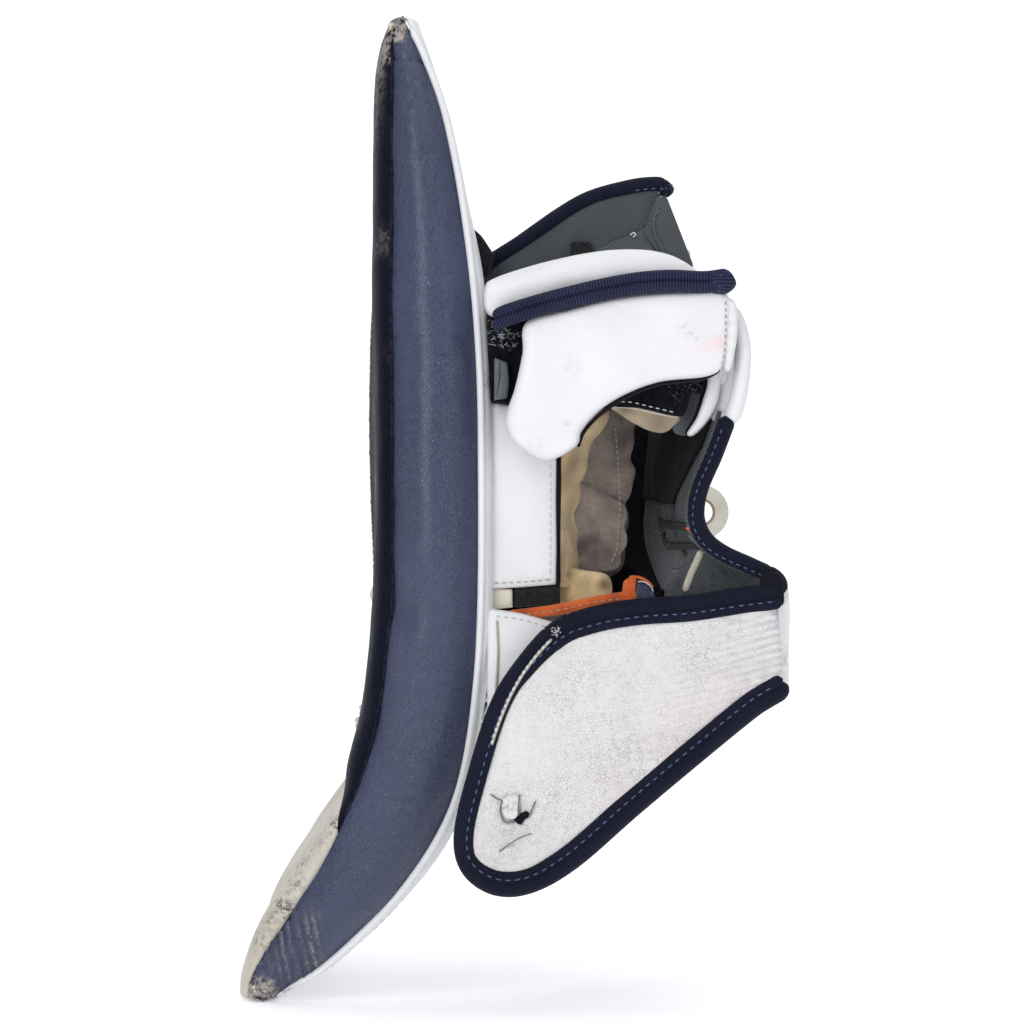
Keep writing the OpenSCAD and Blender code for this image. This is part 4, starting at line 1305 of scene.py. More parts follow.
cord_piece("flap_gusset_rib", seen_path([(16.0, 120), (13.6, 112), (19.5, 98)], 16.2), (0.8, 0.6), HERRING,
    "upper_flap", sides=8)
loop_at = behind(-16, 102.4, 17)
bolster("flap_loop_web", [(loop_at[0] - 4.4, loop_at[2] - 3.6), (loop_at[0] + 4.4, loop_at[2] - 3.2),
    (loop_at[0] + 4.2, loop_at[2] + 3.6), (loop_at[0] - 4.4, loop_at[2] + 3.4)], 15.2, 20.0, BLACK_WEB,
    "upper_flap", round_r=0.8, step=1.8, replaces=("flap_loop",), slot="webbing")
cord_piece("flap_loose_thread", seen_path([(4, 108.6), (5.6, 109.6), (6.4, 108.8), (5.2, 107.8)], 17), 0.3,
    WHITE_THREAD, "upper_flap", sides=6)
cord_piece("flap_loose_thread_2", seen_path([(11, 110.8), (12.4, 111.8), (14, 111)], 17), 0.3, WHITE_THREAD,
    "upper_flap", sides=6)
pillow("webbing_tie_strap", np.array([[-61, 114.5], [-57, 111], [-51.5, 102.6], [-53.5, 95], [-57, 93]],
    float), facing(11.0), 2.6, BLACK_WEB, "cuff", edge=1.1, step=2.2, replaces=("webbing_tie",),
    slot="webbing")

# ---------------------------------------------------------------- palm side
TAN_EDGE = [(-40, -12), (-36, -14), (-31, -18), (-26, -17.5), (-18, -18.0), (-8, -18.5), (0, -17.0),
    (8, -16.0), (14, -14.0), (18, -14.0), (25, -12.0), (29, -8.5), (36, -5.5), (42, -9)]
SUEDE_EDGE = [(-38, -9), (-32, -5), (-29, -0.6), (-22, 0.6), (-16, -0.6), (-12, 1.6), (-6, 2.4), (-1, 1.2),
    (2, 2.6), (6, 4.2), (12, 5.2), (17, 3.6), (22, 4.4), (29, 4.4), (36, 6.4), (42, 6)]


def palm_sheet(name, edge, near, lip, deep, material, seed, fold=0.0, **more):
    """A soft palm lining: it comes up from near, curls over a wavy lip and runs to the fingers."""
    rows = []
    for z in np.linspace(-36, 38, 90):
        x_lip = smooth_at(edge, z)
        k = (CAMERA_AWAY + lip - VIEW_Y) / CAMERA_AWAY
        x_lip = VIEW_X + (x_lip - VIEW_X) * k
        line = smooth_line([(near[0], near[1]), ((near[0] * 2 + x_lip) / 3, (near[1] * 2 + lip) / 3 - 2.0),
                            (x_lip - 1.4, lip - 2.5), (x_lip, lip + 1.2), (x_lip - 2.2, lip + 6.5),
                            ((x_lip + deep) / 2 - 1.5, lip + 26), (deep, 90.0)], 5)
        rows.append([(x, y, z) for x, y in line])
    grid = np.array(rows)
    grid[:, :, 0] += 0.55 * grid_ripple(grid, 11.0, seed, (0.3, 1.0, 1.0))
    grid[:, :, 1] += 0.9 * grid_ripple(grid, 14.0, seed + 1, (0.2, 0.4, 1.0))
    below = 7.6 - 0.51 * (grid[:, :, 0] + 15.8) - grid[:, :, 2]
    grid[:, :, 1] -= (fold * np.where(below > 0, np.exp(-np.clip(below, 0, None) / 9.0), 0.0)
        * (grid[:, :, 1] < 20))
    pinch = np.exp(-((grid[:, :, 2] - 8.0 - 0.6 * (grid[:, :, 0] + 4.0)) / 1.1) ** 2
        - ((grid[:, :, 0] + 4.0) / 4.0) ** 2)
    grid[:, :, 1] += 0.9 * fold * pinch
    surface(name, grid, material, "cuff", thick=1.6,
        wear=lambda p: np.clip(0.8 * np.abs(grid_ripple(p, 16.0, seed, (1.0, 0.5, 1.0))) - 0.25, 0, 0.8),
        **more)


palm_sheet("palm_tan_leather", TAN_EDGE, (-25.5, -14.0), 2.0, -21.0, TAN, 41, replaces=("palm_liner",),
    slot="tan_leather")
palm_sheet("palm_grey_suede", SUEDE_EDGE, (-18.5, 2.0), 18.0, -15.5, SUEDE, 43, 2.0,
    replaces=("palm_suede",), slot="suede")
stitch_row("palm_seam_stitches", seen_path([(-2.2, 31), (-0.8, 16), (-0.4, 4), (0.0, -2), (-0.6, -12),
    (-1.4, -20), (-4.2, -27)], 6.4), OLD_THREAD, "cuff", step=2.4, length=1.7, thick=0.3)
lap_edge = [(-16.6, 7.7), (-12, 5.2), (-6, 2.4), (0.2, -0.6), (2.4, -3.4), (3.2, -7.0), (1.8, -11.0),
    (3.0, -14.6), (2.6, -19.0), (0.2, -22.6), (0.6, -26.0), (-2.4, -28.8), (-8, -29.4), (-13, -28.6),
    (-17.2, -27.6), (-17.6, -18), (-18.6, -11), (-17.6, -2)]
pillow("palm_suede_lap", seen_outline(lap_edge, 9.4, n=3), lambda a, b,
    h: (a, 9.2 - h - 0.5 * math.sin(a * 0.35) * math.sin(b * 0.22), b), 2.0, SUEDE, "cuff", crown=1.2,
    reach=7.0, edge=1.0, step=1.3, wear=blobs([(-8, -5, 7.0, 0.35), (-4, -22, 6.0, 0.5),
    (-14, -16, 5.0, 0.25)]), slot="suede")
fold_edge = [(-26, -28.4), (-20, -27.8), (-14, -28.8), (-8, -29.6), (-4.6, -31.2), (-3.2, -35),
    (-4.4, -40.4), (-12, -42.6), (-22, -42.8), (-26.4, -41), (-27.2, -34)]
pillow("palm_tan_fold", seen_outline(fold_edge, -7), lambda a, b,
    h: (a, -7.0 - h - 0.6 * math.sin(a * 0.55 + b * 0.2), b), 3.0, TAN, "cuff", crown=1.4, reach=4.0,
    edge=1.4, step=1.5, wear=blobs([(-21, -31, 3.0, 0.8), (-14, -36, 3.5, 0.4), (-6, -35, 3.0, 1.0)]),
    slot="tan_leather")

wrist_edge = [(-55.0, 41), (-48, 39.5), (-36, 38.5), (-26.4, 36.5), (-26.0, 20), (-26.2, 0), (-26.0, -20),
    (-26.3, -34.6), (-40, -35.8), (-55.0, -36.6)]
wrist = pillow("wrist_panel_leather", seen_outline(wrist_edge, -18, smooth=False), lambda a, b,
    h: (a, -17.6 - h + 0.5 * math.sin(b * 0.09 + a * 0.2), b), 4.4, WHITE, "cuff", crown=0.5, edge=1.8,
    step=2.6, wear=blobs([(-50, 40, 4, 0.3), (-30, -34, 3, 0.4)]), replaces=("wrist_panel",),
    slot="white_leather")
pillow("wrist_floor_felt", seen_outline([(-56, -27), (3, -27), (9, -30.4), (14, -35), (26, -40.4),
    (26, -43), (-20, -46), (-56, -51)], 22, smooth=False), facing(22.0), 2.4, FELT, "cuff", edge=1.0,
    step=2.6, slot="felt")
cord_piece("wrist_panel_edge", seen_path([(-25.2, 37), (-25.0, 10), (-25.3, -14), (-25.2, -36)], -16.6),
    (0.9, 1.6), FELT, "cuff", sides=8)
stitch_row("wrist_stitches_side", seen_path([(-28.6, 36), (-28.4, 6), (-28.6, -32)], -20.6), WHITE_THREAD,
    "cuff", step=3.3, length=2.2, thick=0.26)
stitch_row("wrist_stitches_foot", seen_path([(-53, -34.2), (-40, -33.6), (-28.6, -32.6)], -20.6),
    OLD_THREAD, "cuff", step=3.0, length=1.9, thick=0.3)
cord_piece("cream_strip_leather", seen_path([(-54.8, 38), (-55.4, 10), (-55.2, -20), (-54.6, -42)], -21),
    (1.3, 2.6), CREAM, "cuff", sides=10, replaces=("cream_strip",), slot="cream_leather")
pillow("under_strap_leather", seen_outline([(-55, -36), (-44, -36.4), (-44, -44), (-55, -45)], -16,
    smooth=False), facing(-16.0), 3.6, OFF_WHITE, "cuff", edge=1.4, step=1.8, replaces=("under_strap",),
    slot="cream_leather")
pillow("black_strap_web", seen_outline([(-43.4, -35.4), (-24.5, -34.4), (-24.5, -42.6), (-43.4, -44)], -15,
    smooth=False), facing(-15.4), 2.8, BLACK_WEB, "cuff", edge=1.2, step=1.8, replaces=("black_strap",),
    slot="webbing")
pillow("orange_strip_leather", seen_outline([(-46.5, -45.6), (-28, -43.0), (-12, -39.8), (1, -37.6),
    (4.5, -38.6), (5.5, -41.6), (-4, -43.2), (-27, -47.4), (-42, -48.6)], -23), lambda a, b,
    h: (a, -22.4 - h + 0.35 * math.sin(a * 0.5), b), 2.6, ORANGE, "cuff", edge=1.1, step=1.5,
    wear=blobs([(-40, -46, 4, 0.7), (-2, -41, 3, 0.5)]), replaces=("orange_strip",), slot="orange_leather")
stitch_row("orange_stitches", seen_path([(-40, -47.0), (-26, -45.4), (-10, -41.9), (2, -40.2)], -24.2),
    OLD_THREAD, "cuff", step=3.1, length=1.9, thick=0.22)


pillow("orange_pull_loop", seen_outline([(0.8, -42), (1.0, -36.0), (1.6, -33.2), (4.0, -31.8), (6.6, -32.2),
    (6.4, -36.0), (6.2, -42)], -19), facing(-19.4), 3.0, ORANGE, "cuff", edge=1.2, step=1.2,
    replaces=("pull_loop",), slot="orange_leather")
pillow("navy_pull_loop", seen_outline([(6.2, -42), (6.2, -35.4), (6.8, -33.6), (10.0, -33.8), (12.8, -35.4),
    (14.2, -38.4), (14.2, -42)], -18), facing(-18.2), 2.6, NAVY, "cuff", edge=1.1, step=1.3,
    slot="navy_leather")
cord_piece("pull_loop_edge", seen_path([(3.6, -31.6), (7.4, -31.7), (11.0, -33.3), (13.6, -36.2)], -18.4),
    (0.7, 1.2), ORANGE, "cuff", sides=8)
cord_piece("pull_loop_thread", seen_path([(7.2, -33.4), (10.0, -33.6), (12.6, -35.4), (13.6, -37.6)],
    -20.2), 0.3, WHITE_THREAD, "cuff", sides=6)
cord_piece("cream_lace_end", seen_path([(33.4, -20.6), (31.5, -25), (29.2, -30), (26.4, -37.5)], -16.5),
    (1.5, 0.9), CREAM_LACE, "cuff", sides=10)
heel_panel = pillow("heel_panel_leather", np.array([(-54.5, -87), (-26.5, -86), (-26, -50.5), (-40, -46.5),
    (-54.5, -44.4)], float), lambda a, b, h: (a, -23.4 - h + 0.5 * math.sin(b * 0.13), b), 4.4, WHITE,
    "cuff", crown=0.9, edge=1.8, step=2.8, replaces=("heel_panel",), slot="white_leather")
stitch_row("heel_panel_stitches", smooth_line([(-52.5, -26.9, -47.4), (-40, -27.0, -49.2),
    (-28, -26.9, -52.8)], 6), OLD_THREAD, "cuff", step=3.2, length=1.8, thick=0.22)
cord_piece("heel_panel_seam", smooth_line([(-50.5, -26.4, -49), (-50.0, -26.8, -62), (-50.8, -26.6, -76),
    (-51.5, -26.2, -86)], 6), 0.5, OLD_THREAD, "cuff", sides=8)

# ---------------------------------------------------------------- back of the hand
BACK_NEAR = smooth_line([[43, 36], [38, 20], [33, 6], [30.5, -4], [32, -14], [38, -21],
    [49, -26], [60, -29]], 6)
BACK_FAR = smooth_line([[22, 44], [18, 30], [16, 14], [15, 0], [15, -14], [17, -26], [22, -38], [30, -46]],
    6)


def wrap_point(u, y, off=0.0):
    """A point of the wrap: u runs down its line, and off lifts it off the hand."""
    s = (y + 26.0) / 144.0
    k = u * (len(BACK_NEAR) - 1)
    i = min(int(k), len(BACK_NEAR) - 2)
    t = k - i
    a, b = BACK_NEAR[i] + (BACK_NEAR[i + 1] - BACK_NEAR[i]) * t, BACK_FAR[i] + (BACK_FAR[i + 1]
        - BACK_FAR[i]) * t
    way = (BACK_NEAR[i + 1] - BACK_NEAR[i]) * (1 - s) + (BACK_FAR[i + 1] - BACK_FAR[i]) * s
    way /= np.linalg.norm(way)
    x, z = a + (b - a) * s + off * np.array([-way[1], way[0]])
    return np.array([x, y, z])


def wrap_grid(y0, y1, rows, cols, off, u0=0.0, u1=1.0, seed=51, relief=0.5, crown=0.0, drawn=2.4):
    """A sheet on the wrap, off from the hand and drawn in towards its front edge."""
    grid = np.array([[wrap_point(u, y, off - drawn * max(1 - (y + 27.0) / 24.0, 0.0)
        + crown * math.sin(math.pi * (y - y0) / (y1 - y0)) * math.sin(math.pi * u) ** 0.5)
        for u in np.linspace(u0, u1, cols)] for y in np.linspace(y0, y1, rows)])
    grid[:, :, 0] += relief * grid_ripple(grid, 24.0, seed, (1.0, 0.6, 1.0))
    return grid


lining = surface("backhand_twill", wrap_grid(-27.0, 117.5, 50, 44, 0.2, seed=51, relief=0.45), HERRING,
    "cuff", thick=1.0, replaces=("backhand_lining",), slot="nylon")
shell = surface("backhand_leather", wrap_grid(-26.0, 118.0, 44, 40, 3.4, seed=53, relief=0.2, crown=2.0,
    drawn=3.2), WHITE, "cuff", thick=2.6, wear=lambda p: np.clip(0.5 * grid_ripple(p, 26.0, 55) - 0.1, 0,
    0.5), replaces=("backhand_pad",), slot="white_leather")
stitch_row("backhand_stitches", np.array([wrap_point(u, -8.0, 6.4) for u in np.linspace(0.03, 0.97, 50)]),
    OLD_THREAD, "cuff", up=(-1, 0, 0))
stitch_row("backhand_stitches_2", np.array([wrap_point(u, 96.0, 6.2) for u in np.linspace(0.03, 0.97, 50)]),
    OLD_THREAD, "cuff", up=(-1, 0, 0))
HAND_FELT_GRID = np.array([[wrap_point(u, -20 + 110 * u + (136 - 110 * u) * t, -1.1)
    for u in np.linspace(0.0, 0.42, 16)] for t in np.linspace(0, 1, 34)])
HAND_FELT_GRID[:, :, 0] += 0.5 * grid_ripple(HAND_FELT_GRID, 20.0, 61)
hand_felt = surface("hand_side_felt", HAND_FELT_GRID, FELT, "cuff", thick=0.9, slot="felt")
BACK_TAPE = smooth_line([[44.6, -30.6, 34.4], [43.0, -31, 30], [38.4, -31, 18], [33.2, -31, 6],
    [31.2, -31, -3], [31.8, -31, -10], [35.4, -31, -16.6], [42.2, -31, -21.8], [52.2, -31, -26.4],
    [62.4, -31.5, -31]], 8)
cord_piece("backhand_tape", BACK_TAPE, (3.5, 3.9), BINDING, "cuff", sides=14,
    replaces=("backhand_binding",), slot="binding")
stitch_row("backhand_tape_stitches", BACK_TAPE[6:] + (-1.6, -3.9, -1.2), BLUE_THREAD, "cuff", step=3.3,
    length=2.0, thick=0.25)
CORNER_CLOTH = seen_outline([(30, -20), (42, -24), (58, -29.6), (64, -34), (44, -44), (24, -44), (18, -38),
    (24, -30)], -16)
corner_lining = pillow("corner_lining_twill", CORNER_CLOTH, facing(-15.6), 1.6, NYLON, "cuff", edge=0.7,
    step=2.4, slot="nylon")
fray("corner_fray", [(*behind(26, -38.5, -20), 5.0, 1.4, 40), (*behind(44, -36.5, -20), 6.0, 1.4, 40)],
    BLACK_WEB, "cuff", 29, 0.2)
corner_tape = cord_piece("hinge_corner_tape",
    smooth_line([(58.6, -31.6, -29.3), (62.6, -32.2, -31.2), (65.0, -33.6, -34.2), (64.8, -36.0, -38.0)],
    8), (3.4, 3.4), BINDING, None, sides=14, slot="binding")
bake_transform(corner_tape)
lump("backhand_red_spot", (27.6, -34.2, -11.6), (0.8, 0.6, 0.6), ORANGE, "cuff", 3)
patch = surface("lining_patch_cloth", wrap_grid(26.0, 72.0, 14, 14, -0.9, 0.42, 0.80, seed=57, relief=0.9),
    NYLON, "cuff", thick=0.9, replaces=("lining_patch",), slot="nylon")
for k, (u0, u1, y0, y1) in enumerate([(0.50, 0.545, -16.0, 62.0), (0.62, 0.665, -18.0, 60.0),
        (0.50, 0.665, 54.0, 61.0)]):
    surface(f"lining_patch_web_{k + 1}", wrap_grid(y0, y1, 20, 5, -1.5, u0, u1, seed=59, relief=0.4,
        drawn=0.0), BLACK_WEB, "cuff", thick=1.0, slot="webbing")
patch_line = [wrap_point(u, y, -1.9) for u, y in [(0.44, 28), (0.44, 70), (0.78, 70), (0.78, 28),
    (0.44, 28), (0.6, 50), (0.78, 70)]]
stitch_row("lining_patch_stitches", evenly(np.array(patch_line), 2.0), DARK_THREAD, "cuff", step=3.0,
    length=2.1, thick=0.3, up=(1, 0, 0))
fray("lining_patch_fray", [(*wrap_point(0.52, 40, -2.0), 3.6, 3.4, 34),
    (*wrap_point(0.7, 34, -2.0), 3.0, 3.2, 30)], DARK_THREAD, "cuff", 19, 0.2)

ring_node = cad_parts["strap_ring"]
ring_node.data.materials.clear()
ring_node.data.materials.append(IVORY)
lathe("ring_hub_collar", (38.7, 88.1, -5), (0, 1, 0), [(0.1, 5.1), (0.0, 5.9), (0.6, 6.3), (3.2, 6.3),
    (3.8, 5.9), (3.7, 5.1)], RUST, "ring", slot="ring_plastic")
tab_turn = np.linspace(0, 2 * math.pi, 28, endpoint=False)
tab_path = np.array([(38.7 - 11.0 + 2.6 * math.cos(a), 90 + 3.6 * math.sin(a), -5) for a in tab_turn])
cord_piece("ring_tab_strap", tab_path, (0.8, 3.4), BLACK_WEB, "cuff", sides=10, up=(0, 0, 1), closed=True,
    replaces=("ring_tab",), slot="webbing")

# ---------------------------------------------------------------- thumb
THUMB_AT = (-33.0, 62.0, -62.0)
THUMB_AXIS = (0, math.cos(math.radians(25)), -math.sin(math.radians(25)))
thumb = lathe("thumb_stall_suede", THUMB_AT, THUMB_AXIS, stall_profile(91.0, 19.6, 5.4), SUEDE, "cuff",
    lumps=0.7, replaces=("thumb_stall",), slot="suede")


def thumb_place(a, t, h):
    """[across, along] the thumb, h outwards from its back."""
    axis = np.array(THUMB_AXIS)
    across = np.array((0.0, -axis[2], axis[1]))
    return np.array(THUMB_AT) + np.array((1.0, 0, 0)) * (25.0 - 0.035 * a * a + h) + across * a + axis * t


thumb_pad = pillow("thumb_back_leather", pad_outline([(-17, 16), (17, 16), (19, 40), (17, 74), (9, 86),
    (-9, 86), (-17, 74), (-19, 40)]), thumb_place, 7.4, WHITE, "cuff", crown=1.5, edge=3.4, step=3.2,
    replaces=("thumb_back_pad",), slot="white_leather")
puff(thumb_pad, 2.8, 1.5)

# ---------------------------------------------------------------- finger board
def board_half(name, outline, material, body, front, wear=None, **more):
    """One half of a board's thickness, as a padded shell over an outline [y, z]."""
    def place(y, z, h):
        share = 0.5 - (max(h, 0) if front else -max(h, 0))
        return front_x(y, z) + board_t(y, z) * share, y, z
    return pillow(name, outline, place, 1.0, material, body, edge=7.0, step=4.6, wear=wear, **more)


heights = np.linspace(FINGER_LOW, FINGER_HIGH, 40)
finger_outline = np.array([(break_line(z) + BREAK_GAP, z) for z in heights] +
                          [(smooth_at(TIP_LINE, z), z) for z in heights[::-1]])
board_half("finger_face_leather", finger_outline, NAVY_FACE, "fingers", True, wear=face_wear,
           replaces=("finger_face_skin", "finger_core"), slot="navy_leather")
board_half("finger_back_leather", finger_outline, WHITE, "fingers", False, wear=strip_wear,
           replaces=("finger_back_skin",), slot="white_leather")
tip_edge = np.array([(front_x(smooth_at(TIP_LINE, z) - 3, z) + board_t(smooth_at(TIP_LINE, z) - 3, z) / 2,
    smooth_at(TIP_LINE, z) - 1.2, z) for z in np.linspace(FINGER_LOW + 1, FINGER_HIGH - 1, 60)])
cord_piece("finger_edge_leather", tip_edge, (2.6, 5.0), NAVY, "fingers", sides=14, up=(1, 0, 0),
    replaces=("finger_edge_band",), slot="navy_leather")
cord_piece("finger_edge_piping", tip_edge + (5.0, -0.6, 0), 1.4, WHITE, "fingers", sides=8,
    slot="white_leather")
stitch_row("finger_face_stitches", np.array([(front_x(smooth_at(TIP_LINE, z) - 14, z) - 0.3,
    smooth_at(TIP_LINE, z) - 14, z) for z in np.linspace(-40, 178, 80)]), OLD_THREAD,
    "fingers", up=(1, 0, 0))

LEAN = math.radians(9.6)


def on_stalls(x, y, z):
    return np.array((-58.6 + x * math.cos(LEAN) - y * math.sin(LEAN), 142 + x * math.sin(LEAN)
        + y * math.cos(LEAN), -36.0 + z))


for number in range(4):
    mouth = on_stalls(13.5, 0.5, 14.6 + 26.5 * number)
    stall = lathe(f"finger_stall_{number + 1}", mouth, (-math.sin(LEAN), math.cos(LEAN), 0),
        stall_profile(97.0, 13.3, 2.0), SUEDE, "fingers", power=3.2, count=32, lumps=0.35,
        replaces=("finger_stalls",) if number == 0 else (), slot="suede")


def finger_pad_place(y, z, h):
    grooves = (sum(math.exp(-((z - 4 - 24.0 * k) / 1.7) ** 2) for k in (1, 2, 3))
        + 0.8 * math.exp(-((y - 46) / 1.8) ** 2))
    return on_stalls(33.4 + h - (1.9 * grooves if h > 0 else 0), y, z)


finger_pad = pillow("finger_back_pad_leather",
    pad_outline([(4, 5), (3, 50), (4, 99), (40, 101), (78, 99), (90, 76), (92, 50), (90, 28), (78, 5),
    (40, 3)]), finger_pad_place, 11.0, WHITE, "fingers", crown=1.8, edge=4.6, step=3.0,
    wear=lambda p: np.clip(0.4 * grid_ripple(p, 22.0, 61) - 0.1, 0, 0.4), replaces=("finger_back_pad",),
    slot="white_leather")
puff(finger_pad, 2.8, 1.2)


def break_strip(name, face, lift, material, **more):
    rows = []
    for z in np.linspace(-44.0, 184.0, 50):
        line = []
        for s in np.linspace(-1, 1, 13):
            y = break_line(z) + 11.0 * s
            groove = 2.6 * math.exp(-(s / 0.3) ** 2)
            line.append((face(y, z) + lift * (1.2 - groove - 0.7 * abs(s) ** 3), y, z))
        rows.append(line)
    piece = surface(name, rows, material, None, thick=1.3, **more)
    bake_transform(piece)


break_strip("break_face_leather", front_x, -1.0, NAVY_FACE, wear=face_wear, replaces=("break_roll",),
    slot="navy_leather")
break_strip("break_back_leather", back_x, 1.0, WHITE, wear=strip_wear, slot="white_leather")

# ---------------------------------------------------------------- pocket
def web_foot(z):
    return smooth_at(THUMB_LINE, z) + 8.0


def web_point(z, s, depth=16.5, sag=None):
    """A point of the web at a height, s of the way from its foot to the bar."""
    y0, y1 = web_foot(z), smooth_at(WEB_LINE, z) - 9.4
    y = y0 + (y1 - y0) * s
    i = min(max((z - WEB_LOW) / (WEB_HIGH - WEB_LOW), 0), 1)
    hang = NET_SAG * math.sin(math.pi * s) * (math.sin(math.pi * i) if sag is None else sag)
    return np.array((front_x(y, z) + depth + hang, y, z))


def many_cords(name, paths, radius, material, sides=8, body=None, **more):
    """Several cords as one mesh."""
    points, faces = [], []
    turn = np.linspace(0, 2 * math.pi, sides, endpoint=False)
    for path in paths:
        path = np.asarray(path, float)
        side, lift = frames_along(path, (1.0, 0.05, 0.02))
        base = len(points)
        for i in range(len(path)):
            for a in turn:
                points.append(path[i] + radius * (math.cos(a) * side[i] + math.sin(a) * lift[i]))
        faces += tube_faces(len(path), sides, base)
    return mesh_piece(name, points, faces, material, body, **more)


net_paths = []
for z in np.linspace(WEB_LOW + 3, WEB_HIGH - 2, 9):
    net_paths.append([web_point(z, s) + (0.7 * math.sin(s * 50), 0, 0) for s in np.linspace(0.0, 1.0, 30)])
for s in np.linspace(0.06, 0.95, 8):
    net_paths.append([web_point(z, s) - (0.7 * math.sin(z * 0.7), 0, 0) for z in np.linspace(WEB_LOW + 2,
        WEB_HIGH + 1, 32)])
knots = []
for z in np.linspace(WEB_LOW + 3, WEB_HIGH - 2, 9):
    for s in np.linspace(0.06, 0.95, 8):
        centre = web_point(z, s)
        knots.append([centre + (1.9 * math.cos(a), 2.0 * math.sin(a), 1.6 * math.sin(a))
            for a in np.linspace(0.2, 5.6, 9)])
net = many_cords("pocket_lace", net_paths + knots, 1.25, LACE, body=None,
    replaces=("pocket_net",), slot="lace")
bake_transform(net)

bar_rows = np.linspace(WEB_LOW, WEB_HIGH, 26)
bar_outline = np.array([(smooth_at(WEB_LINE, z) - 9.2, z) for z in bar_rows]
    + [(smooth_at(WEB_LINE, z) + 0.2, z) for z in bar_rows[::-1]])
t_bar = pillow("t_bar_leather", bar_outline, lambda y, z, h: (front_x(y, z) + 15.0 - h, y, z), 22.0, NAVY,
    "pocket", edge=4.2, step=2.6, replaces=("t_bar",), slot="navy_leather")
many_cords("t_bar_lacing", [[(front_x(y, z) + 15 + 12.2 * math.cos(a), smooth_at(WEB_LINE, z) - 4.4
    + 6.2 * math.sin(a), z + 0.8 * math.sin(a)) for a in np.linspace(0, 2 * math.pi, 18)]
    for z in np.linspace(WEB_LOW + 5, WEB_HIGH - 5, 9) for y in [smooth_at(WEB_LINE, z)]], 1.2, LACE,
    body="pocket", slot="lace")
spine_grid = np.array([[web_point(z, s, 7.0, 1.0) + (1.2 * math.cos((z + 92.5) * 0.28), 0, 0)
    for z in np.linspace(-98, -87, 9)] for s in np.linspace(0, 1, 30)])
surface("t_spine_leather", spine_grid, NAVY, "pocket", thick=5.0,
                replaces=("t_spine",), slot="navy_leather")
thumb_loops = []
for z in np.linspace(-106, -62, 8):
    y = smooth_at(THUMB_LINE, z)
    mid = front_x(y, z) + board_t(y, z) * 0.5
    net_x = front_x(y + 6, z) + 16.5
    thumb_loops.append(smooth_line([(net_x, y + 7.5, z + 1), (mid - 8, y + 2.5, z + 1.5),
        (front_x(y - 6, z) - 1.2, y - 4, z + 2), (front_x(y - 8, z) - 0.4, y - 8, z + 3.5),
        (front_x(y - 5, z) - 1.2, y - 3, z + 5), (mid - 6, y + 3.5, z + 4.6), (net_x, y + 8, z + 4)], 5))
loops = many_cords("thumb_lacing", thumb_loops, 1.2, LACE, body=None, slot="lace")
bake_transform(loops)
finger_loops = []
for y in np.linspace(152, 236, 9):
    z = FINGER_LOW
    finger_loops.append(smooth_line([(front_x(y, -57) + 17.5, y, -58), (front_x(y, z) + 3, y + 0.6, -50.5),
        (front_x(y, -44) - 1.2, y + 1, -45), (front_x(y, -40) - 0.6, y + 2.5, -41),
        (front_x(y, -44) - 1.2, y + 4, -45.5), (front_x(y, z) + 4, y + 4, -51),
        (front_x(y, -57) + 17.5, y + 4, -58)], 5))
loops = many_cords("finger_lacing", finger_loops, 1.2, LACE, body=None, slot="lace")
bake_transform(loops)

# ---------------------------------------------------------------- side flap
SIDE_FLAP = smooth_line([[62, -36], [48, -38], [28, -41], [8, -42], [-10, -45], [-28, -52], [-42, -67],
    [-52, -84], [-61, -112], [-67, -137], [-64, -153], [-52, -161], [-36.6, -160.2], [-17.6, -149.6],
    [7, -128.2], [31, -108.2], [54, -89.2], [66, -80.6], [68, -62]], 6, closed=True)


def flap_relief(a, b):
    """How far the flap's leather stands out towards the viewer."""
    reach = min(max((a - 18) / 44, 0), 1)
    fan = math.sin((b + 64 + 0.28 * (a - 60) * (b + 66) / 40) * 2 * math.pi / 5.2)
    ridges = 0.55 * reach ** 1.5 * fan
    tear = -1.6 * math.exp(-((a + 43.5) / 4.2) ** 2 - ((b + 127) / 3.4) ** 2)
    torn_edge = 1.0 * math.exp(-((a + 47.5 - 0.5 * (b + 127)) / 1.5) ** 2 - ((b + 127) / 5.0) ** 2)
    crack = -0.7 * math.exp(-((b + 140 + 0.38 * (a + 45)) / 0.8) ** 2) * math.exp(-((a + 45) / 8.5) ** 4)
    dimple = -0.8 * math.exp(-((a + 36) / 9.0) ** 2 - ((b + 118) / 6.0) ** 2)
    return ridges + tear + torn_edge + crack + dimple + 0.5 * math.sin(a * 0.06 + b * 0.045)


flap_leather = pillow("side_flap_leather", moved_in(SIDE_FLAP, 2.0), lambda a, b,
    h: (a, -36.6 - h - (flap_relief(a, b) if h > 0 else 0), b), 7.6, FLAP_WHITE, "side_flap", crown=1.5,
    reach=16.0, edge=3.0, step=1.9, wear=blobs([(50, -84, 14, 0.16), (60, -76, 8, 0.2),
    (28, -104, 12, 0.16), (-30, -55, 8, 0.2), (44, -44, 9, 0.2), (-44, -132, 5, 0.5), (-47, -145, 6, 0.3),
    (-55, -150, 6, 0.2), (6, -106, 14, 0.16)]), replaces=("side_flap_skin", "side_flap_core"),
    slot="white_leather")
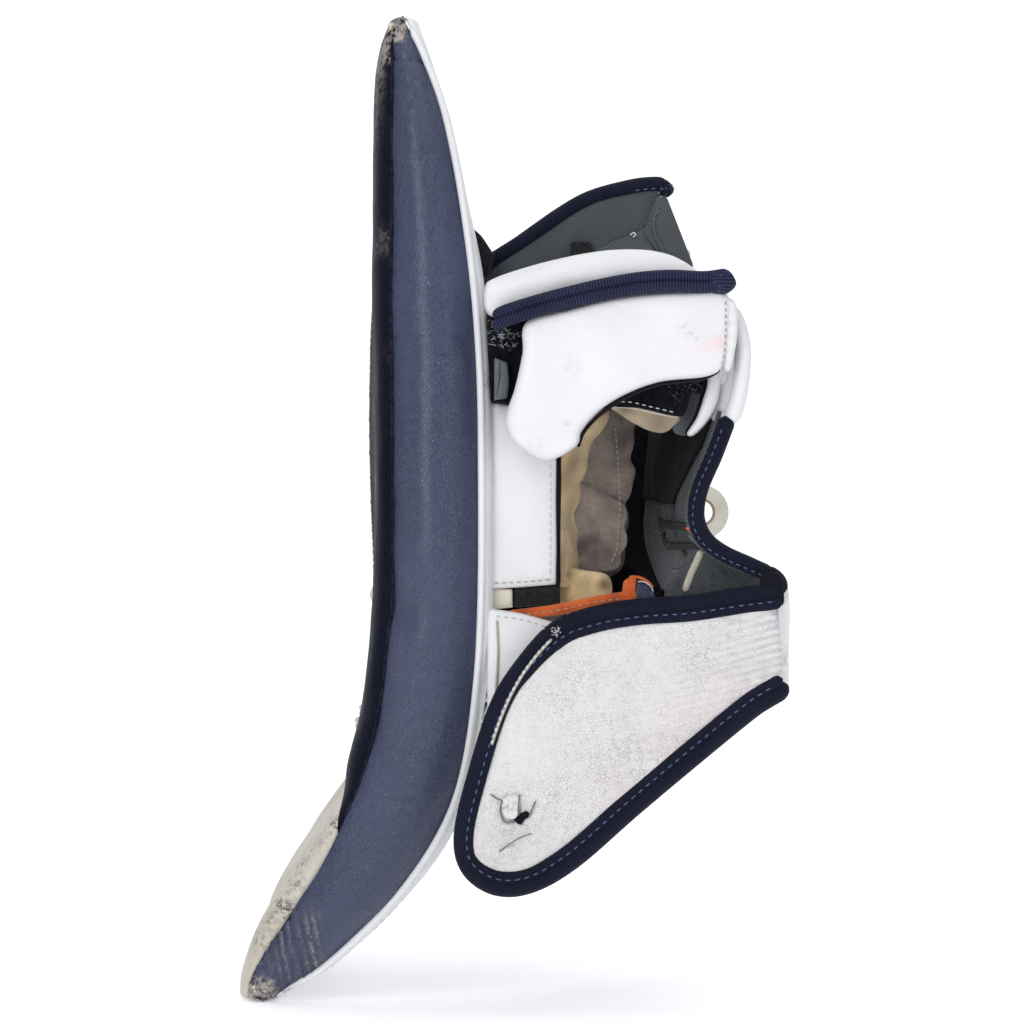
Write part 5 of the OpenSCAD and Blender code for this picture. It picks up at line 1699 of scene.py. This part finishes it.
# ridges on the flap: bumped grooves with painted shade in them
tint(flap_leather, "ridged", [(66, -58, 22, 1.0), (52, -66, 16, 0.7), (30, -76, 16, 0.45),
    (12, -82, 12, 0.25)])
tint(flap_leather, "crazed", [(0, -112, 16, 0.7), (-12, -96, 16, 0.45), (-22, -78, 14, 0.3),
    (-44, -136, 9, 0.4), (34, -62, 12, 0.4), (-24, -120, 14, 0.45), (22, -100, 12, 0.5)])
tint(flap_leather, "blush", [(30, -96, 16, 0.22), (44, -84, 12, 0.25), (0, -122, 12, 0.16),
    (10, -62, 9, 0.08)])
backing = pillow("side_flap_twill", moved_in(SIDE_FLAP, 2.4), facing(-32.6), 1.2, NYLON, "side_flap",
    edge=0.6, step=4.0, replaces=("side_flap_backing",), slot="nylon")
rim = np.array([(66.5, -37.2), (61, -38.4), (48, -40), (28, -43), (8, -44.4), (-10, -47.4), (-26, -53.6),
    (-39.6, -68.4), (-49.6, -85), (-58.4, -112.6), (-63.8, -136), (-61.4, -149.6), (-51, -157.2),
    (-37.2, -156.4), (-19.8, -146.6), (4.6, -125.4), (28.4, -105.4), (51.6, -86.4), (59.2, -81.2),
    (68.6, -75.8)], float)
rim_path = smooth_line([(x, -36.9, z) for x, z in rim], 8)
cord_piece("side_flap_tape", rim_path, (4.3, 5.4), BINDING, "side_flap", sides=20,
    replaces=("side_flap_binding",), slot="binding")


def beside(path, shift, lift):
    """A path shifted to the left of its way, seen from the front, and lifted off."""
    way = np.gradient(path, axis=0)
    way /= np.linalg.norm(way, axis=1)[:, None]
    left = np.stack([-way[:, 2], np.zeros(len(way)), way[:, 0]], axis=1)
    return path + left * shift - np.array((0, lift, 0))


narrow = (np.clip((-28.0 - rim_path[:, 0]) / 16.0, 0, 1) * np.clip((rim_path[:, 2] + 158.0) / 12.0,
    0, 1))[:, None]
cord_piece("side_flap_tape_lap", beside(rim_path, 4.0 - 2.6 * narrow, 4.3)[4:-1], (2.5, 1.5), BINDING,
    "side_flap", sides=12, slot="binding")
pillow("side_flap_tape_fold", seen_outline([(57.5, -31), (62, -29.6), (66.2, -31.4), (67.0, -36),
    (66.8, -43), (61, -42.6), (57.8, -38)], -40.6), facing(-40.4), 1.6, BINDING, "side_flap", edge=0.8,
    step=1.8, slot="binding")
stitch_row("side_flap_stitches", beside(rim_path, 3.1 - 1.9 * narrow, 5.9)[6:-3], BLUE_THREAD, "side_flap",
    step=3.9, length=2.3, thick=0.28)
thick_thread = smooth_line([(-28, -42.6, -56.5), (-34, -42.8, -63), (-40.6, -42.8, -72), (-46, -42.8, -82),
    (-50.4, -42.6, -93), (-52.6, -42.2, -100)], 8)
cord_piece("side_flap_thick_thread", thick_thread, 0.62, OLD_THREAD, "side_flap", sides=8)
stitch_row("side_flap_white_stitches", thick_thread + (-0.2, -0.5, 0.1), WHITE_THREAD, "side_flap",
    step=2.6, length=1.9, thick=0.52)
pillow("side_flap_tear_hole", seen_outline([(-43.4, -131.4), (-40.8, -133.2), (-39.2, -131.2),
    (-36.8, -129.4), (-38.4, -127.4), (-40.6, -128.4), (-43.2, -129.4)], -41.8, 3), facing(-41.7), 1.2,
    FELT, "side_flap", edge=0.6, step=0.9)
tear_lines = [[(-53.1, -119.7), (-50.6, -121.4), (-48.4, -122.5), (-49.0, -125.0), (-48.9, -127.4),
    (-47.4, -130.8), (-43.0, -131.2)], [(-41.6, -128.6), (-41.8, -124.0), (-41.0, -119.6)],
    [(-37.4, -129.0), (-36.0, -125.6), (-34.6, -122.4)]]
for number, line in enumerate(tear_lines):
    cord_piece(f"side_flap_tear_{number + 1}", smooth_line([(x, -42.3, z) for x, z in line], 5),
        (0.36, 0.5), DARK_THREAD, "side_flap", sides=6)
pillow("side_flap_torn_leather", seen_outline([(-48.2, -122.4), (-42.0, -121.0), (-41.8, -126.0),
    (-42.6, -130.4), (-46.8, -130.6), (-48.6, -127)], -42.4, 3), lambda a, b,
    h: (a, -41.9 - h - 0.05 * (a + 50), b), 0.7, FLAP_WHITE, "side_flap", edge=0.5, step=1.2,
    wear=blobs([(-47, -125, 4, 0.5)]))
cord_piece("side_flap_crack", smooth_line([(-49.6, -42.1, -143.2), (-46, -42.2, -140.6),
    (-42.4, -42.3, -138.2), (-39, -42.3, -136.6), (-36, -42.3, -135.8)], 6), (0.26, 0.26), DARK_THREAD,
    "side_flap", sides=6)
fray("side_flap_tape_fray", [(-26.6, -44.6, -53.0, 1.2, 1.8, 20)], WHITE_THREAD, "side_flap", 23, 0.2)


def hinge_strip():
    """Leather that carries the side flap from the wrap over the back of the hand."""
    rows = []
    for r in np.linspace(0, 1, 16):
        path = smooth_line([(63.5, -33.6, -41 - 40 * r), (67.6, -27, -41 - 38 * r), (68, -8, -36 - 34 * r),
            (57, 18, -37 - 22 * r), (46, 46, -39 - 13 * r), (39, 74, -41 - 6 * r)], 5)
        rows.append(path)
    grid = np.array(rows)
    grid[:, :, 0] += 0.5 * grid_ripple(grid, 22.0, 71)
    piece = surface("side_flap_hinge_leather", grid, WHITE, None, thick=2.4,
        wear=lambda p: np.clip(0.5 * grid_ripple(p, 18.0, 73), 0, 0.5), slot="white_leather")
    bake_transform(piece)


hinge_strip()


# ---------------------------------------------------------------- linings from the cuff to the fingers
def joining_sheet(name, near, far, material, thick, seed, **more):
    """A soft sheet between two lines of points, with slack in the middle."""
    near, far = np.array(near, float), np.array(far, float)
    rows = []
    for s in np.linspace(0, 1, 18):
        line = near + (far - near) * s
        line[:, 0] += 3.0 * math.sin(math.pi * s)
        rows.append(line)
    grid = np.array(rows)
    grid[:, :, 0] += 0.75 * grid_ripple(grid, 20.0, seed)
    piece = surface(name, grid, material, None, thick, **more)
    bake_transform(piece)
    return piece, grid


us = np.linspace(0, 1, 30)
wrap_end = [wrap_point(u, 116.0, 0.8) for u in us] + [(34, 112, -52)]
pad_start = [on_stalls(30.0, 6.0, 104 - 100 * u) for u in us] + [on_stalls(26, 6.0, -6)]
tunnel_felt, TUNNEL_GRID = joining_sheet("finger_tunnel_felt", wrap_end, pad_start, FELT, 1.6,
    81, slot="felt")
palm_end = [(-17.5, 88.0, z) for z in np.linspace(38, -38, 24)]
stall_start = [on_stalls(4.0, 4.0, z) for z in np.linspace(106, 2, 24)]
joining_sheet("palm_tunnel_suede", palm_end, stall_start, SUEDE, 1.6, 83, slot="suede")

rows = []
for y in np.linspace(4, 34, 14):
    line = smooth_line([(-25, y, -37.5), (-8, y, -43.0), (12, y, -45.0), (30, y, -41.0),
        (46 - 0.12 * y, y, -31.0 - 0.05 * y)], 6)
    rows.append(line)
floor_grid = np.array(rows)
floor_grid[:, :, 2] += 0.8 * grid_ripple(floor_grid, 18.0, 85)
floor_felt = surface("thumb_side_lining_felt", floor_grid, FELT, "cuff", thick=2.0, slot="felt")

# ---------------------------------------------------------------- padding by the palm and in the wrist guard
palm_pad = bolster("palm_pad_felt", [(-51.5, -34), (-28.5, -34), (-28.5, 33), (-51.5, 33)], -12.0, 88.0,
    FELT, "cuff", round_r=3.0, step=4.0, replaces=("palm_pad",), slot="felt")
guard_core = bolster("guard_core_felt", [(-38, 53), (36.5, 53), (36.5, 75), (-38, 75)], -34.0, 11.5, FELT,
    "cuff", round_r=3.0, step=4.0, replaces=("guard_core",), slot="felt")


def flap_root():
    """Leather from the top pad up to the foot of the upper flap."""
    rows = []
    for x in np.linspace(-49, 31, 30):
        top = 102.0 - 0.0075 * (x - 6) ** 2
        rows.append(smooth_line([(x, 4.0, top - 1.4), (x, 12.0, top - 0.4), (x, 18.5, top - 1.0),
            (x, 21.5, top + 3.0), (x, 22.0, top + 8.0)], 5))
    grid = np.array(rows)
    grid[:, :, 2] = np.minimum(grid[:, :, 2], 97.0 + 0.62 * (grid[:, :, 0] + 54))
    piece = surface("upper_flap_root_leather", grid, WHITE, None, thick=1.6, slot="white_leather")
    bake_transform(piece)


flap_root()


def laid_size(grid):
    """The mean width and length, in metres, of a grid of points in millimetres."""
    points = np.asarray(grid, float) * MM
    wide = np.linalg.norm(np.diff(points, axis=1), axis=2).sum(axis=1).mean()
    tall = np.linalg.norm(np.diff(points, axis=0), axis=2).sum(axis=0).mean()
    return float(wide), float(tall)


moved_in(SIDE_FLAP, 2.4)
laid_size(HAND_FELT_GRID)
laid_size(TUNNEL_GRID)
laid_size(floor_grid)
